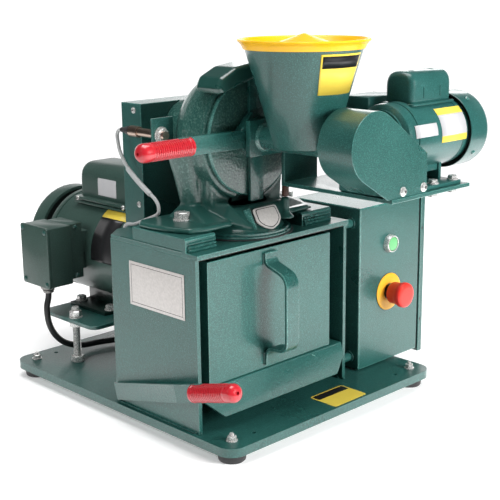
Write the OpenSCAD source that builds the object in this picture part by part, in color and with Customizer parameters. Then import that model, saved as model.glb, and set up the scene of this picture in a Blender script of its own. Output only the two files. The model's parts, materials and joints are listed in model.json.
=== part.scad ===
// Bench coal pulverizer: a hinged-door grinding chamber over a lift-sealed sample
// container, with a screw feeder on the door and a belt drive behind.
// Pieces are placed from the front left corner of the base plate's top face:
// x to the right, y to the back, z up. put() then moves them to the part's origin.

/* [Base plate] */
// Width of the base plate, left to right
plate_w = 442; // [420:1:520]
// Depth of the base plate, front to back
plate_d = 521; // [510:1:620]
// Thickness of the base plate
plate_t = 12.7; // [8:0.1:20]
// Corner radius of the base plate
plate_r = 24; // [12:1:26]
// Distance of each foot from the plate's edges
foot_in = 27; // [24:1:34]
// Diameter of a rubber foot at the plate
foot_d = 40; // [32:1:44]
// Height of a rubber foot
foot_h = 14.4; // [12:0.1:30]
// Diameter of the foot bolts
foot_bolt_d = 6.4; // [5:0.1:8]
// Bench bolt holes: distance from the left and right edges
bench_in_x = 66; // [60:1:72]
// Bench bolt holes: distance from the front and back edges
bench_in_y = 25; // [22:1:30]
// Diameter of the bench bolt holes
bench_hole_d = 7; // [5:0.5:10]

/* [Housing] */
// Left wall's outer face, from the plate's left edge
house_x = 8; // [4:1:12]
// Width of the housing over its walls
house_w = 302; // [296:1:306]
// Front edge of the walls, from the plate's front edge
house_y = 71; // [66:1:76]
// Depth of the housing, front edge to back face
house_d = 187; // [184:1:188]
// Height of the walls
house_h = 245.5; // [238:0.5:252]
// Thickness of the walls
wall_t = 6; // [4:0.5:6.5]
// Length of the nameplate on the left wall
nameplate_w = 120; // [100:1:130]
// Height of the nameplate
nameplate_h = 63; // [50:1:70]
// Thickness of the gasket under the top plate
gasket_t = 2.5; // [2:0.1:4]
// Thickness of the top plate
top_t = 6.5; // [5:0.1:8]
// Overhang of the top plate past the walls' front edges
top_lead = 4; // [1:0.5:6]
// Overhang of the top plate past the back wall
top_tail = 4.2; // [2:0.1:6]
// Height of the two support pads
pad_h = 19; // [17:0.5:22]
// Width of the left support pad
left_pad_w = 54; // [48:1:58]

/* [Grinding chamber] */
// Chamber axis, to the right of the housing's middle
axis_in = 3; // [-1:1:7]
// Height of the chamber axis over its foot flange
axis_up = 110; // [104:1:118]
// Outer radius of the drum
drum_r = 91.5; // [88:0.5:94]
// Radius of the drum's bore
bore_r = 78; // [70:0.5:80]
// Front face of the drum, from the plate's front edge
drum_y = 124; // [122:1:128]
// Depth of the drum
drum_d = 78; // [72:1:80]
// Thickness of the foot flange
flange_t = 8; // [6:0.5:12]
// Outer radius of the discharge neck's ring
neck_r = 75; // [70:0.5:76]
// Radius of the discharge bore
throat_r = 52; // [40:1:56]

/* [Door and clamp] */
// Radius of the door disc
door_r = 84; // [81:0.5:86]
// Thickness of the door disc
door_t = 6.7; // [5:0.1:8]
// Width of the flat bar in the clamp and the lever
bar_w = 25.4; // [20:0.1:28]
// Thickness of the flat bar
bar_t = 6.2; // [4:0.1:6.4]
// Reach of the clamp handle from the axis
clamp_reach = 214; // [205:1:230]
// Diameter of the hand grips
grip_d = 25; // [22:0.5:28]
// Length of the hand grips
grip_l = 88; // [80:1:96]
// Height of the door arm
arm_h = 51; // [46:1:54]
// Thickness of the door arm
arm_t = 10; // [8:0.5:11]
// Hinge axis, to the right of the chamber axis
hinge_dx = 104; // [103:0.5:110]
// Radius of the hinge pin
hinge_pin_r = 5; // [4:0.1:6]

/* [Feeder] */
// Radius of the feed tube
tube_r = 17; // [14:0.1:18]
// Centre of the hopper, from the plate's front edge
hopper_y = 21; // [16:1:24]
// Radius of the hopper at its top
hopper_r = 79; // [74:0.5:84]
// Radius of the hopper at its bottom
hopper_low_r = 40; // [34:0.5:44]
// Height of the hopper
hopper_h = 132; // [120:1:140]
// Wall of the hopper
hopper_t = 2; // [1.5:0.1:3]
// Radius of the hopper's safety rim
rim_r = 87; // [84:0.5:90]
// Height of the safety rim
rim_h = 11; // [8:0.5:14]
// Front face of the chain guard, ahead of the plate's front edge
guard_out = 103; // [100:1:108]
// Depth of the chain guard
guard_d = 57; // [50:1:60]
// Radius of the chain guard's round end
guard_r = 47; // [44:0.5:50]
// Left edge of the feeder shelf, to the right of the chamber axis
shelf_dx = 32; // [28:1:34]
// Width of the feeder shelf
shelf_w = 174; // [166:1:180]
// Thickness of the feeder shelf
shelf_t = 5.5; // [4.5:0.1:7]
// Top of the feeder shelf, below the chamber axis
shelf_drop = 67; // [63:1:69]
// Radius of the feeder motor
fmotor_r = 48; // [44:0.5:50]
// Length of the feeder motor's frame
fmotor_l = 135; // [125:1:145]
// Length of the feeder motor's fan cover
fcover_l = 34; // [28:1:40]

/* [Drive] */
// Depth of the belt guard
belt_d = 45; // [42:1:48]
// Width of the belt guard
belt_w = 186; // [180:1:190]
// Main motor axis, to the right of the chamber axis
motor_dx = 20; // [16:1:24]
// Height of the main motor axis
motor_z = 172; // [168:1:176]
// Radius of the main motor's frame
motor_r = 84; // [80:0.5:84]
// Length of the main motor's frame
motor_l = 228; // [220:1:240]
// Radius of the main motor's fan cover
fan_r = 86; // [84:0.5:88]
// Length of the main motor's fan cover
fan_l = 36; // [30:1:42]
// Height of the motor plate's top face
mplate_z = 75; // [73:0.5:76]
// Thickness of the motor plate
mplate_t = 6.35; // [5:0.05:8]
// Diameter of the threaded stud
stud_d = 12.7; // [10:0.1:14]

/* [Sample container] */
// Space on each side of the container, inside the walls
cont_side = 22; // [16:1:28]
// Space behind the container
cont_back = 8; // [5:1:14]
// Wall of the container
cont_t = 3; // [2:0.1:4]
// Height of the lift shelf's top face
lift_z = 61; // [58:1:64]
// Thickness of the lift shelf
lift_t = 4; // [3:0.5:5]
// Standing height of the container handle off its face
handle_out = 46; // [38:1:50]

/* [Control box] */
// Gap between the housing and the control box
box_gap = 35.7; // [30:0.1:38]
// Width of the control box body
box_w = 149; // [140:1:156]
// Depth of the control box
box_d = 140; // [130:1:150]
// Height of the control box
box_h = 260; // [250:1:264]
// Depth of the control box cover
cover_t = 13.5; // [9:0.5:16]
// Radius of the stop button's ring
ring_r = 30; // [26:0.5:34]
// Radius of the stop button's head
stop_r = 20; // [17:0.5:22]
// Radius of the start button's bezel
bezel_r = 14.5; // [12:0.5:16]

/* [Hidden] */
$fn = 64;

fit = 0.3;          // gap where two bodies face each other
eps = 0.01;
hex_k = 0.5774;     // corner radius of a hexagon over its flats

// housing
house_back = house_y + house_d;
house_right = house_x + house_w;
top_front = house_y - top_lead;
top_back = house_back + top_tail;
top_high = house_h + top_t;
seal_low = house_h - gasket_t;
pad_high = top_high + pad_h;
flange_high = pad_high + flange_t;
axis_x = house_x + house_w / 2 + axis_in;
axis_z = flange_high + axis_up;
pad_y = 90;
pad_l = 112;
left_pad_x = house_x;
neck_x = axis_x - 6;
right_pad_x = neck_x + neck_r + 2;
right_pad_w = house_right - 14 - right_pad_x;
neck_y = top_front + neck_r;
pad_bevel = 2.5;
gasket_w = 14;
tongue_x = 36;
tongue_back = 274;
nameplate_t = 0.8;

// chamber and door
drum_back = drum_y + drum_d;
door_y = drum_y - fit - door_t;
strap_y = door_y - fit - bar_t;
lever_y = strap_y - bar_t;
arm_y = lever_y - fit - arm_t;
drum_bottom = axis_z - drum_r;
strap_low = axis_z - 91;
strap_high = axis_z + 84;
catch_gap = 4;
apron_high = strap_low - catch_gap;
hood_y = arm_y - 2;
leg_dx = 66;
leg_y = drum_y + 46;
leg_r = 17.5;
leg_lean = 12;
apron_r = 57;
hinge_x = axis_x + hinge_dx;
hinge_y = door_y + 1;
knuckle_r = hinge_pin_r + 5;
boss_r = 21;
knuckle_h = 20;
clamp_low = axis_x - clamp_reach;

// feeder
shelf_x = axis_x + shelf_dx;
shelf_z = axis_z - shelf_drop;
shelf_front = -guard_out - 2;
fplate_y = arm_y - shelf_t;
hopper_low = axis_z - 6;
hopper_high = hopper_low + hopper_h;
rest_r = 5;
rest_x = shelf_x + 7;
rest_y = arm_y - 1;
rest_z = shelf_z - shelf_t - 16;
guard_z = axis_z + 4;
guard_right = axis_x + 108;
guard_left = shelf_x - 6;
guard_t = 2;
fmotor_y = -guard_out + 56;
fmotor_z = axis_z + 2;
fmotor_x = axis_x + 78;
fring_l = 9;
fcover_x = fmotor_x + fmotor_l + fring_l + fit;
fcover_r = fmotor_r + 6;
fbolt_y = fmotor_y - 41;
foot_t = 5;
fcap_l = 89;
fcap_r = 24;

// drive
belt_y = top_back + fit;
belt_x = axis_x - 84;
belt_low = 95;
belt_high = axis_z + 41;
motor_x = axis_x + motor_dx;
motor_y = belt_y + belt_d;
motor_back = motor_y + 20 + motor_l;
cap_l = 138;
cap_w = 88;
cap_r = 28;
cap_top = 141;
cap_rail = 82;
conduit_x = motor_x - 163;
conduit_y = motor_y + 124.5;
conduit_z = 131;
fan_y = motor_back + 14;
fan_back = fan_y + fan_l;
mplate_x = motor_x - 128;
mplate_w = 256;
mplate_y = motor_y + 62.5;
mplate_d = 142;
cradle_y = motor_y + 96.5;
cradle_d = 96;
cradle_t = 6;
stud_x = mplate_x + 13;
stud_y = mplate_y + 65;

// sample container
cont_w = house_w - 2 * (wall_t + cont_side);
cont_x = house_x + wall_t + cont_side - 3;
cont_y = house_y + 5;
cont_d = house_back - wall_t - cont_back - cont_y;
cont_top = seal_low - 6;
cont_h = cont_top - lift_z;
handle_t = 5;
handle_left = 18;
handle_high = cont_top - 41;
handle_low = lift_z + 38;
shelf_in = 2;
lift_pivot_y = house_back - 20;
lift_pivot_z = 20;
lever_shaft_r = 8;
lever_bore_r = lever_shaft_r + 0.1;
lift_angle = 15.5;
lift_arm = 45;

// control box
box_x = house_right + box_gap;
box_y = 74;
box_z = 2;
button_x = box_x + 72;
stop_z = 117;
start_z = 196;
bezel_l = 9;
stop_neck_r = 11;

// overall box, for the origin: middle of the footprint, on the floor
low_x = clamp_low;
high_x = box_x + box_w + cover_t;
low_y = -guard_out - 4;
high_y = fan_back;
mid_x = (low_x + high_x) / 2;
mid_y = (low_y + high_y) / 2;
floor_z = foot_h + plate_t;

module put(x, y, z) translate([x - mid_x, y - mid_y, z + floor_z]) children();

// cylinder lying along +Y or +X from the given point
module along_y(l, r) rotate([-90, 0, 0]) cylinder(h = l, r = r);
module along_x(l, r) rotate([0, 90, 0]) cylinder(h = l, r = r);

module rounded_plate(w, d, t, r) {
    linear_extrude(t) union() {
        translate([r, 0]) square([w - 2 * r, d]);
        translate([0, r]) square([w, d - 2 * r]);
        for (x = [r, w - r], y = [r, d - r]) translate([x, y]) circle(r);
    }
}

module hex(af, h) cylinder(h = h, r = af * hex_k, $fn = 6);

// Hand grip: a round-ended sleeve along +Z from its open end
module grip_solid() {
    r = grip_d / 2;
    rotate_extrude() union() {
        square([r, grip_l - 6]);
        translate([0, grip_l - 6]) square([r - 6, 6]);
        translate([r - 6, grip_l - 6]) intersection() {
            circle(6);
            square(6);
        }
    }
}

// Swept tube through points, as one closed surface with n sides
function unit(v) = v / norm(v);
function tangent(p, i) = unit(p[min(i + 1, len(p) - 1)] - p[max(i - 1, 0)]);
function side_dir(t) = unit(cross(t, abs(t[2]) > 0.9 ? [0, 1, 0] : [0, 0, 1]));
function flat_dir(t, last) = unit(last - (last * t) * t);
function frames(p, i = 0, last = [0, 0, 0]) =
    i == len(p) ? [] :
    let (t = tangent(p, i), s = i == 0 ? side_dir(t) : flat_dir(t, last))
    concat([[s, cross(t, s)]], frames(p, i + 1, s));
function bez(a, b, c, d, t) =
    a * pow(1 - t, 3) + 3 * b * t * pow(1 - t, 2) + 3 * c * t * t * (1 - t) + d * pow(t, 3);
function smooth(p, n) = concat([for (i = [0:len(p) - 2], k = [0:n - 1])
    let (a = p[max(i - 1, 0)], b = p[i], c = p[i + 1], d = p[min(i + 2, len(p) - 1)])
    bez(b, b + (c - a) / 6, c - (d - b) / 6, c, k / n)], [p[len(p) - 1]]);

module cord(route, r, n = 8, steps = 2) {
    p = smooth(route, steps);
    f = frames(p);
    rings = [for (i = [0:len(p) - 1], k = [0:n - 1])
        p[i] + r * (f[i][0] * cos(360 * k / n) + f[i][1] * sin(360 * k / n))];
    sides = [for (i = [0:len(p) - 2], k = [0:n - 1])
        [i * n + k, i * n + (k + 1) % n, (i + 1) * n + (k + 1) % n, (i + 1) * n + k]];
    ends = [[for (k = [n - 1:-1:0]) k], [for (k = [0:n - 1]) (len(p) - 1) * n + k]];
    polyhedron(rings, concat(ends, sides), 4);
}

// ---------- base ----------
module feet_spots() {
    for (x = [foot_in, plate_w - foot_in], y = [foot_in, plate_d - foot_in])
        put(x, y, 0) children();
}

module base_plate() color("darkslategray") difference() {
    put(0, 0, -plate_t) rounded_plate(plate_w, plate_d, plate_t, plate_r);
    feet_spots() translate([0, 0, -plate_t - 1]) cylinder(h = plate_t + 2, d = foot_bolt_d);
    for (x = [bench_in_x, plate_w - bench_in_x], y = [bench_in_y, plate_d - bench_in_y])
        put(x, y, -plate_t - 1) cylinder(h = plate_t + 2, d = bench_hole_d);
}

module rubber_feet() color("black") feet_spots() translate([0, 0, -plate_t - foot_h])
    difference() {
        cylinder(h = foot_h, d1 = foot_d - 3, d2 = foot_d);
        translate([0, 0, -1]) cylinder(h = 7, d = 18);
        cylinder(h = foot_h + 1, d = foot_bolt_d);
    }

module foot_bolts() color("silver") feet_spots() {
    head_z = -plate_t - foot_h + 6;
    translate([0, 0, head_z]) cylinder(h = -head_z + 8, d = foot_bolt_d);
    translate([0, 0, head_z - 3]) cylinder(h = 3 + eps, d = 13);
    translate([0, 0, 0]) hex(11, 5.6);
    translate([0, 0, 8]) sphere(d = foot_bolt_d);
}

// ---------- housing ----------
module left_wall() color("cadetblue") difference() {
    put(house_x, house_y, 0) cube([wall_t, house_d - wall_t, house_h]);
    put(house_x - 1, lift_pivot_y, lift_pivot_z) along_x(wall_t + 2, lever_bore_r);
}

module right_wall() color("cadetblue") difference() {
    put(house_right - wall_t, house_y, 0) cube([wall_t, house_d, house_h]);
    put(house_right - wall_t - 1, lift_pivot_y, lift_pivot_z) along_x(wall_t + 2, lever_bore_r);
}

module back_wall() color("cadetblue")
    put(house_x + wall_t / 2, house_back - wall_t, 0)
        cube([house_w - 1.5 * wall_t, wall_t, house_h]);

// Seal strip around the container's mouth, under the top plate
module gasket() color("saddlebrown") {
    in = wall_t + fit;
    w = house_w - 2 * in;
    d = house_d - in;
    difference() {
        put(house_x + in, house_y, seal_low) cube([w, d, gasket_t]);
        put(house_x + in + gasket_w, house_y + gasket_w, seal_low - 1)
            cube([w - 2 * gasket_w, d - 2 * gasket_w, gasket_t + 2]);
    }
}

// Top plate, with a cut corner and a tongue beside the belt guard at the back left
module top_outline() polygon([
    [house_x, top_front], [house_right, top_front], [house_right, top_back],
    [belt_x - fit, top_back], [belt_x - fit, tongue_back], [tongue_x, tongue_back],
    [house_x, house_back - wall_t]]);

// Support pad with a bevelled top front edge
module pad(w) rotate([90, 0, 90]) linear_extrude(w)
    polygon([[0, 0], [pad_l, 0], [pad_l, pad_h], [pad_bevel, pad_h], [0, pad_h - pad_bevel]]);

module top_plate() color("seagreen") difference() {
    union() {
        put(0, 0, house_h) linear_extrude(top_t) top_outline();
        put(left_pad_x, pad_y, top_high) pad(left_pad_w);
        put(right_pad_x, pad_y, top_high) pad(right_pad_w);
    }
    put(neck_x, neck_y, house_h - 1) cylinder(h = top_t + 2, r = throat_r);
}

// ---------- grinding chamber ----------
module foot_outline() polygon([
    [house_x + 2, pad_y + 76], [house_x + 28, pad_y + 10], [neck_x - 58, pad_y + 8],
    [neck_x - 46, pad_y + 28], [neck_x + 46, pad_y + 28], [neck_x + 49, pad_y + 4],
    [right_pad_x + 24, pad_y + 8], [right_pad_x + 57, pad_y + 60],
    [right_pad_x + 57, pad_y + pad_l], [house_x + 14, pad_y + pad_l],
    [house_x + 2, pad_y + pad_l - 12]]);

// Drum, with its back edge rounded off in two cones
module drum() put(axis_x, drum_y, axis_z) rotate([-90, 0, 0]) rotate_extrude($fn = 128)
    polygon([[0, 0], [drum_r, 0], [drum_r, drum_d / 3], [drum_r - 2, drum_d * 0.6],
        [drum_r - 9, drum_d * 0.87], [drum_r - 24, drum_d], [0, drum_d]]);

// Leaning leg with a flared foot, from its foot's centre
module leg(side) {
    rotate([0, side * leg_lean, 0]) cylinder(h = 100, r1 = leg_r - 1, r2 = leg_r + 6);
    translate([0, 0, -1]) cylinder(h = 17, r1 = leg_r + 9, r2 = leg_r - 1);
}

module chamber_solid() {
    drum();
    // rear bearing housing, up to the belt guard
    put(axis_x, drum_back - 1, axis_z) along_y(14, 60);
    put(axis_x, drum_back, axis_z) along_y(belt_y - drum_back, 42);
    // foot flange
    put(0, 0, pad_high) linear_extrude(flange_t) foot_outline();
    // pedestal between drum and foot
    put(axis_x, drum_y + 6, flange_high - 1) rotate([90, 0, 0]) mirror([0, 0, 1])
        linear_extrude(drum_d - 18) polygon([[-66, 0], [66, 0], [78, axis_z - flange_high],
            [-78, axis_z - flange_high]]);
    for (side = [-1, 1]) put(axis_x + side * leg_dx, leg_y, flange_high) leg(side);
    // rib from the left leg's foot down to the flange's inner corner
    put(axis_x - leg_dx, leg_y - leg_r - 42, pad_high) rotate([90, 0, 90]) linear_extrude(6)
        polygon([[0, 0], [48, 0], [48, 32], [38, 18], [20, 9]]);
    // discharge neck: two rings, then a narrower barrel
    put(neck_x, neck_y, top_high) {
        cylinder(h = 4.5, r = neck_r);
        cylinder(h = 8.5, r = neck_r - 2.5);
        cylinder(h = pad_h + flange_t, r = apron_r);
    }
    // apron: from the neck's round up to a square edge under the strap's end
    hull() {
        put(neck_x, neck_y, top_high + 8) cylinder(h = 1, r = apron_r, $fn = 32);
        put(0, 0, apron_high - 3) linear_extrude(3) polygon([[axis_x - 55, drum_y - 15],
            [axis_x + 44, drum_y - 18], [axis_x + 44, drum_y + 26], [axis_x - 55, drum_y + 26]]);
    }
    put(axis_x - 28, drum_y, apron_high - 4) cube([56, 12, 12]);
    // post for the shelf's rubber rest, on a round foot
    put(rest_x, rest_y, pad_high) {
        cylinder(h = rest_z - pad_high, r = rest_r + 1);
        cylinder(h = flange_t, r = 2 * rest_r + 2);
    }
}

module grinding_chamber() color("seagreen") difference() {
    union() {
        chamber_solid();
        // hood lug over the door
        put(axis_x, hood_y, axis_z) rotate([90, 0, 0]) mirror([0, 0, 1])
            linear_extrude(drum_y + 10 - hood_y) hood_outline();
        // hooked lip that the strap's top end turns behind
        put(axis_x - 18, hood_y + 1, strap_high + catch_gap)
            cube([18, strap_y - hood_y - 6, 8]);
        // wedge that the strap's bottom end turns behind
        put(axis_x - 32, 0, 0) rotate([90, 0, 90]) linear_extrude(6)
            polygon([[drum_y - 14, pad_high], [80, pad_high - 6], [80, pad_high - 3],
                [98, apron_high], [drum_y - 14, apron_high]]);
        // fixed hinge knuckles
        for (z = [axis_z - arm_h / 2 - 1 - knuckle_h, axis_z + arm_h / 2 + 1]) {
            put(hinge_x, hinge_y, z) cylinder(h = knuckle_h, r = knuckle_r);
            put(hinge_x - 2, hinge_y, z) cube([12, 40, knuckle_h]);
            put(axis_x + 60, hinge_y + 24, z) cube([hinge_dx - 60 + 10, 16, knuckle_h]);
        }
        put(hinge_x, hinge_y, axis_z - arm_h / 2 - knuckle_h - 3)
            cylinder(h = arm_h + 2 * knuckle_h + 6, r = hinge_pin_r);
    }
    put(axis_x, drum_y - 60, axis_z) along_y(60 + drum_d - 10, bore_r, $fn = 128);
    // throat: a funnel from the drum's bottom out to the neck's bore
    hull() {
        put(neck_x, neck_y, top_high - 1) cylinder(h = 2, r = throat_r);
        put(axis_x - 28, drum_y + 10, drum_bottom) cube([56, 44, 1]);
    }
    put(axis_x - 28, drum_y + 10, drum_bottom) cube([56, 44, 30]);
}

// Eyebrow outline, measured from the chamber's axis
module hood_outline() polygon([[-94, 70], [-94, 81], [-46, 91], [0, 98], [14, 98],
    [14, 93], [-18, 92], [-50, 80], [-80, 66]]);

module hammer_rotor() color("gray") {
    put(axis_x, drum_y + 20, axis_z) along_y(drum_d - 40, 26);
    for (a = [45:90:315]) put(axis_x, drum_y + 26, axis_z) rotate([0, a, 0])
        translate([20, 0, -10]) cube([48, 26, 20]);
    put(axis_x, drum_y + 20, axis_z) along_y(drum_d - 30, 12);
}

// ---------- fasteners on the frame ----------
module chamber_bolt_spots() {
    for (x = [axis_x - leg_dx - 36, axis_x + leg_dx + 40]) put(x, pad_y + 66, flange_high) children();
}

module fasteners() color("silver") {
    chamber_bolt_spots() {
        cylinder(h = 2.5, d = 22);
        hex(19, 11);
    }
    for (x = [motor_x - 62, motor_x + 62], y = [cradle_y + 8, cradle_y + cradle_d - 8])
        put(x, y, mplate_z + cradle_t) {
            cylinder(h = 2, d = 18);
            hex(13, 8);
        }
    // screws in the belt guard's left side
    for (p = [[16, belt_high - 10], [10, belt_low + 187]])
        put(belt_x - 2, belt_y + p[0], p[1]) along_x(2, 4);
}

// ---------- drive ----------
module belt_guard() color("darkgreen")
    put(belt_x, belt_y, belt_low) cube([belt_w, belt_d, belt_high - belt_low]);

module motor_plate() color("darkgreen") difference() {
    put(mplate_x, mplate_y, mplate_z - mplate_t)
        rounded_plate(mplate_w, mplate_d, mplate_t, 14);
    put(stud_x, stud_y, mplate_z - mplate_t - 1) cylinder(h = mplate_t + 2, d = stud_d);
}

module plate_stud() color("silver") put(stud_x, stud_y, 0) {
    cylinder(h = mplate_z + 18, d = stud_d);
    hex(19, 10);
    translate([0, 0, mplate_z - mplate_t - 8]) hex(19, 8);
    translate([0, 0, mplate_z]) hex(19, 10);
}

module main_motor() color("slategray") {
    put(motor_x, motor_y + 20, motor_z) along_y(motor_l, motor_r, $fn = 96);
    put(motor_x, motor_y + 8, motor_z) along_y(13, motor_r - 10);
    put(motor_x, motor_y, motor_z) along_y(9, 40);
    put(motor_x, motor_back - 1, motor_z) along_y(fan_y - motor_back + 1, motor_r - 16);
    // foot cradle
    put(motor_x - 80, cradle_y, mplate_z) cube([160, cradle_d, cradle_t]);
    for (x = [motor_x - 46, motor_x + 32])
        put(x, cradle_y + 8, mplate_z + cradle_t) cube([14, cradle_d - 16, 30]);
}

module motor_fan_cover() color("slategray")
    put(motor_x, fan_y, motor_z) along_y(fan_l, fan_r, $fn = 96);

// Capacitor cover on top of the motor, rounded at the top, with a foot rail each side
module motor_capacitor() color("slategray") difference() {
    put(motor_x, motor_y + 62, motor_z) rotate([-90, 0, 0]) linear_extrude(cap_l) {
        for (x = [-cap_w / 2 + cap_r, cap_w / 2 - cap_r]) translate([x, cap_r - cap_top]) circle(cap_r);
        translate([cap_r - cap_w / 2, -cap_top]) square([cap_w - 2 * cap_r, cap_top]);
        translate([-cap_w / 2, cap_r - cap_top]) square([cap_w, cap_top - cap_r - 60]);
        translate([-cap_w / 2 - 10, -cap_rail - 6]) square([cap_w + 20, 7]);
    }
    put(motor_x, motor_y + 61, motor_z) along_y(cap_l + 2, motor_r, $fn = 96);
}

module motor_conduit_box() color("slategray") difference() {
    union() {
        put(conduit_x, conduit_y, conduit_z) cube([46, 75, 98]);
        put(conduit_x + 46, conduit_y + 8, conduit_z + 6) cube([26, 58, 91]);
        put(conduit_x + 72, conduit_y + 16, conduit_z + 18) cube([40, 42, 62]);
    }
    put(motor_x, conduit_y - 1, motor_z) along_y(80, motor_r, $fn = 96);
}

gland_x = conduit_x + 22;
gland_y = conduit_y + 38;
gland_low = conduit_z - 14;
module cable_gland() color("silver") put(gland_x, gland_y, gland_low) {
    cylinder(h = 14, d = 18);
    hex(21, 6);
}

// Motor cable, from the gland to the control box's left face, at the plate frame
cable_r = 5;
cable_route = [[41, 470, 117], [40, 470, 106], [36, 470, 90], [38, 470, 66], [46, 470, 46],
    [60, 470, 29], [80, 470, 17], [105, 470, 10], [135, 468, 8], [165, 456, 8],
    [195, 436, 8], [222, 410, 8], [246, 380, 8], [266, 348, 8], [284, 318, 8],
    [302, 292, 9], [320, 270, 14], [331, 250, 26], [334, 230, 42],
    [box_x - 11.7, 213, 54], [box_x - 8.7, 203, 58], [box_x - 4.7, 200, 58], [box_x - fit, 200, 58]];
module motor_cable() color("black") put(0, 0, 0) cord(cable_route, cable_r);

// ---------- control box ----------
module control_box() color("cadetblue") difference() {
    put(box_x, box_y, box_z) cube([box_w, box_d, box_h]);
    put(button_x, box_y - 1, stop_z) along_y(10, stop_neck_r + fit);
}

module box_cover() color("cadetblue")
    put(box_x + box_w, box_y - 1, box_z - 6) cube([cover_t, box_d + 2, box_h + 6]);

module box_spacers() color("seagreen")
    for (y = [box_y + 19, box_y + 116], z = [21, house_h - 8])
        put(house_right, y, z) along_x(box_gap, 7);

module start_bezel() color("silver") put(button_x, box_y, start_z) rotate([90, 0, 0])
    difference() {
        cylinder(h = bezel_l, r = bezel_r);
        translate([0, 0, 1]) cylinder(h = bezel_l, r = bezel_r - 3);
    }

module start_button() color("lightgreen")
    put(button_x, box_y - bezel_l + 4, start_z) rotate([90, 0, 0])
        cylinder(h = 3.5, r = bezel_r - 3 - fit);

module stop_ring() color("gold") put(button_x, box_y, stop_z) rotate([90, 0, 0])
    difference() {
        cylinder(h = 2, r = ring_r);
        translate([0, 0, -1]) cylinder(h = 4, r = stop_neck_r + fit);
    }

module stop_button() color("red") put(button_x, box_y, stop_z) rotate([90, 0, 0]) {
    translate([0, 0, -3]) cylinder(h = 13, r = stop_neck_r);
    translate([0, 0, 9]) cylinder(h = 25, r1 = stop_r - 3, r2 = stop_r);
    translate([0, 0, 34]) cylinder(h = 3, r1 = stop_r, r2 = stop_r - 2.5);
}

// ---------- interlock sensor ----------
sensor_x = axis_x - 105;
sensor_z = axis_z + 5;
module sensor_bracket() color("darkslategray") difference() {
    put(sensor_x - 16, 192, sensor_z - 10) cube([38, 3, 34]);
    put(sensor_x, 190, sensor_z) along_y(8, 6);
}

module interlock_sensor() color("peru") put(sensor_x, 182, sensor_z) {
    along_y(60, 6);
    translate([0, 7, 0]) rotate([-90, 0, 0]) hex(17, 3);
    translate([0, 13, 0]) rotate([-90, 0, 0]) hex(17, 3);
    translate([0, 58, 0]) along_y(20, 8);
    translate([0, 77, 0]) rotate([-90, 0, 0]) cylinder(h = 22, r1 = 7, r2 = 3.4);
}

sensor_cord_r = 3;
drop_y = house_back + 26;
sensor_route = [[sensor_x, 281, sensor_z], [sensor_x, 288, sensor_z - 2],
    [sensor_x, 292, sensor_z - 8], [sensor_x, 291, sensor_z - 18], [sensor_x, 286, sensor_z - 34],
    [sensor_x, 270, sensor_z - 55], [sensor_x, 250, sensor_z - 70], [sensor_x, 228, sensor_z - 83],
    [sensor_x, 210, flange_high + 22], [sensor_x, 203, flange_high + 12],
    [sensor_x, 206, flange_high + 1], [sensor_x, 228, top_high + 18],
    [sensor_x, 248, top_high + 10], [sensor_x, drop_y - 22, top_high + 5],
    [sensor_x, drop_y - 10, top_high + 4], [sensor_x, drop_y - 3, top_high],
    [sensor_x, drop_y, top_high - 8], [sensor_x, drop_y, 220], [sensor_x, drop_y, 180],
    [sensor_x, drop_y, 140], [sensor_x, drop_y - 1, 100], [sensor_x, drop_y - 2, 60],
    [sensor_x + 3, drop_y - 4, 30], [sensor_x + 13, drop_y - 7, 16], [90, drop_y - 11, 10],
    [130, drop_y - 14, 9], [170, drop_y - 14, 9], [210, drop_y - 14, 9], [250, drop_y - 14, 9],
    [box_x - 60.7, drop_y - 16, 9], [box_x - 37.7, drop_y - 20, 12], [box_x - 23.7, drop_y - 30, 24],
    [box_x - 19.7, drop_y - 44, 44], [box_x - 17.7, 224, 70], [box_x - 13.7, 210, 92],
    [box_x - 8.7, 205, 100], [box_x - 4.7, 204, 100], [box_x - fit, 204, 100]];
module sensor_cable() color("gray") put(0, 0, 0) cord(sensor_route, sensor_cord_r);

module nameplates() color("white")
    put(house_x - nameplate_t, house_y + 22, house_h - nameplate_h - 24.5)
        cube([nameplate_t, nameplate_w, nameplate_h]);

// ---------- door and feeder ----------
module door() color("seagreen") difference() {
    union() {
        put(axis_x, door_y, axis_z) along_y(door_t, door_r, $fn = 128);
        put(axis_x, arm_y + arm_t - eps, axis_z) along_y(door_y - arm_y - arm_t + 2 * eps, boss_r);
        put(axis_x - 29, arm_y, axis_z - arm_h / 2) cube([hinge_dx + 29, arm_t, arm_h]);
        put(hinge_x - knuckle_r, arm_y, axis_z - arm_h / 2)
            cube([2 * knuckle_r, hinge_y - arm_y, arm_h]);
        put(hinge_x, hinge_y, axis_z - arm_h / 2) cylinder(h = arm_h, r = knuckle_r);
    }
    put(hinge_x, hinge_y, axis_z - arm_h) cylinder(h = 2 * arm_h, r = hinge_pin_r + 0.08);
    put(axis_x, arm_y - 1, axis_z) along_y(drum_y - arm_y + 2, tube_r);
}

module feed_tube() color("seagreen") difference() {
    union() {
        put(axis_x, -guard_out + guard_d, axis_z)
            along_y(drum_y - fit + guard_out - guard_d, tube_r);
        put(axis_x, arm_y - 6, axis_z) rotate([-90, 0, 0])
            cylinder(h = 6, r1 = tube_r + 2, r2 = tube_r + 6);
    }
    put(axis_x, -guard_out, axis_z) along_y(drum_y + guard_out + 1, tube_r - 3);
    put(axis_x - 12, hopper_y - 24, axis_z + 6) cube([24, 48, 20]);
}

module hopper() color("seagreen") difference() {
    put(axis_x, hopper_y, hopper_low)
        cylinder(h = hopper_h, r1 = hopper_low_r, r2 = hopper_r, $fn = 96);
    put(axis_x, hopper_y, hopper_low + 3)
        cylinder(h = hopper_h, r1 = hopper_low_r - hopper_t + 1, r2 = hopper_r - hopper_t + 1,
            $fn = 96);
    put(axis_x, -guard_out, axis_z) along_y(drum_y + guard_out, tube_r);
}

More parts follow.
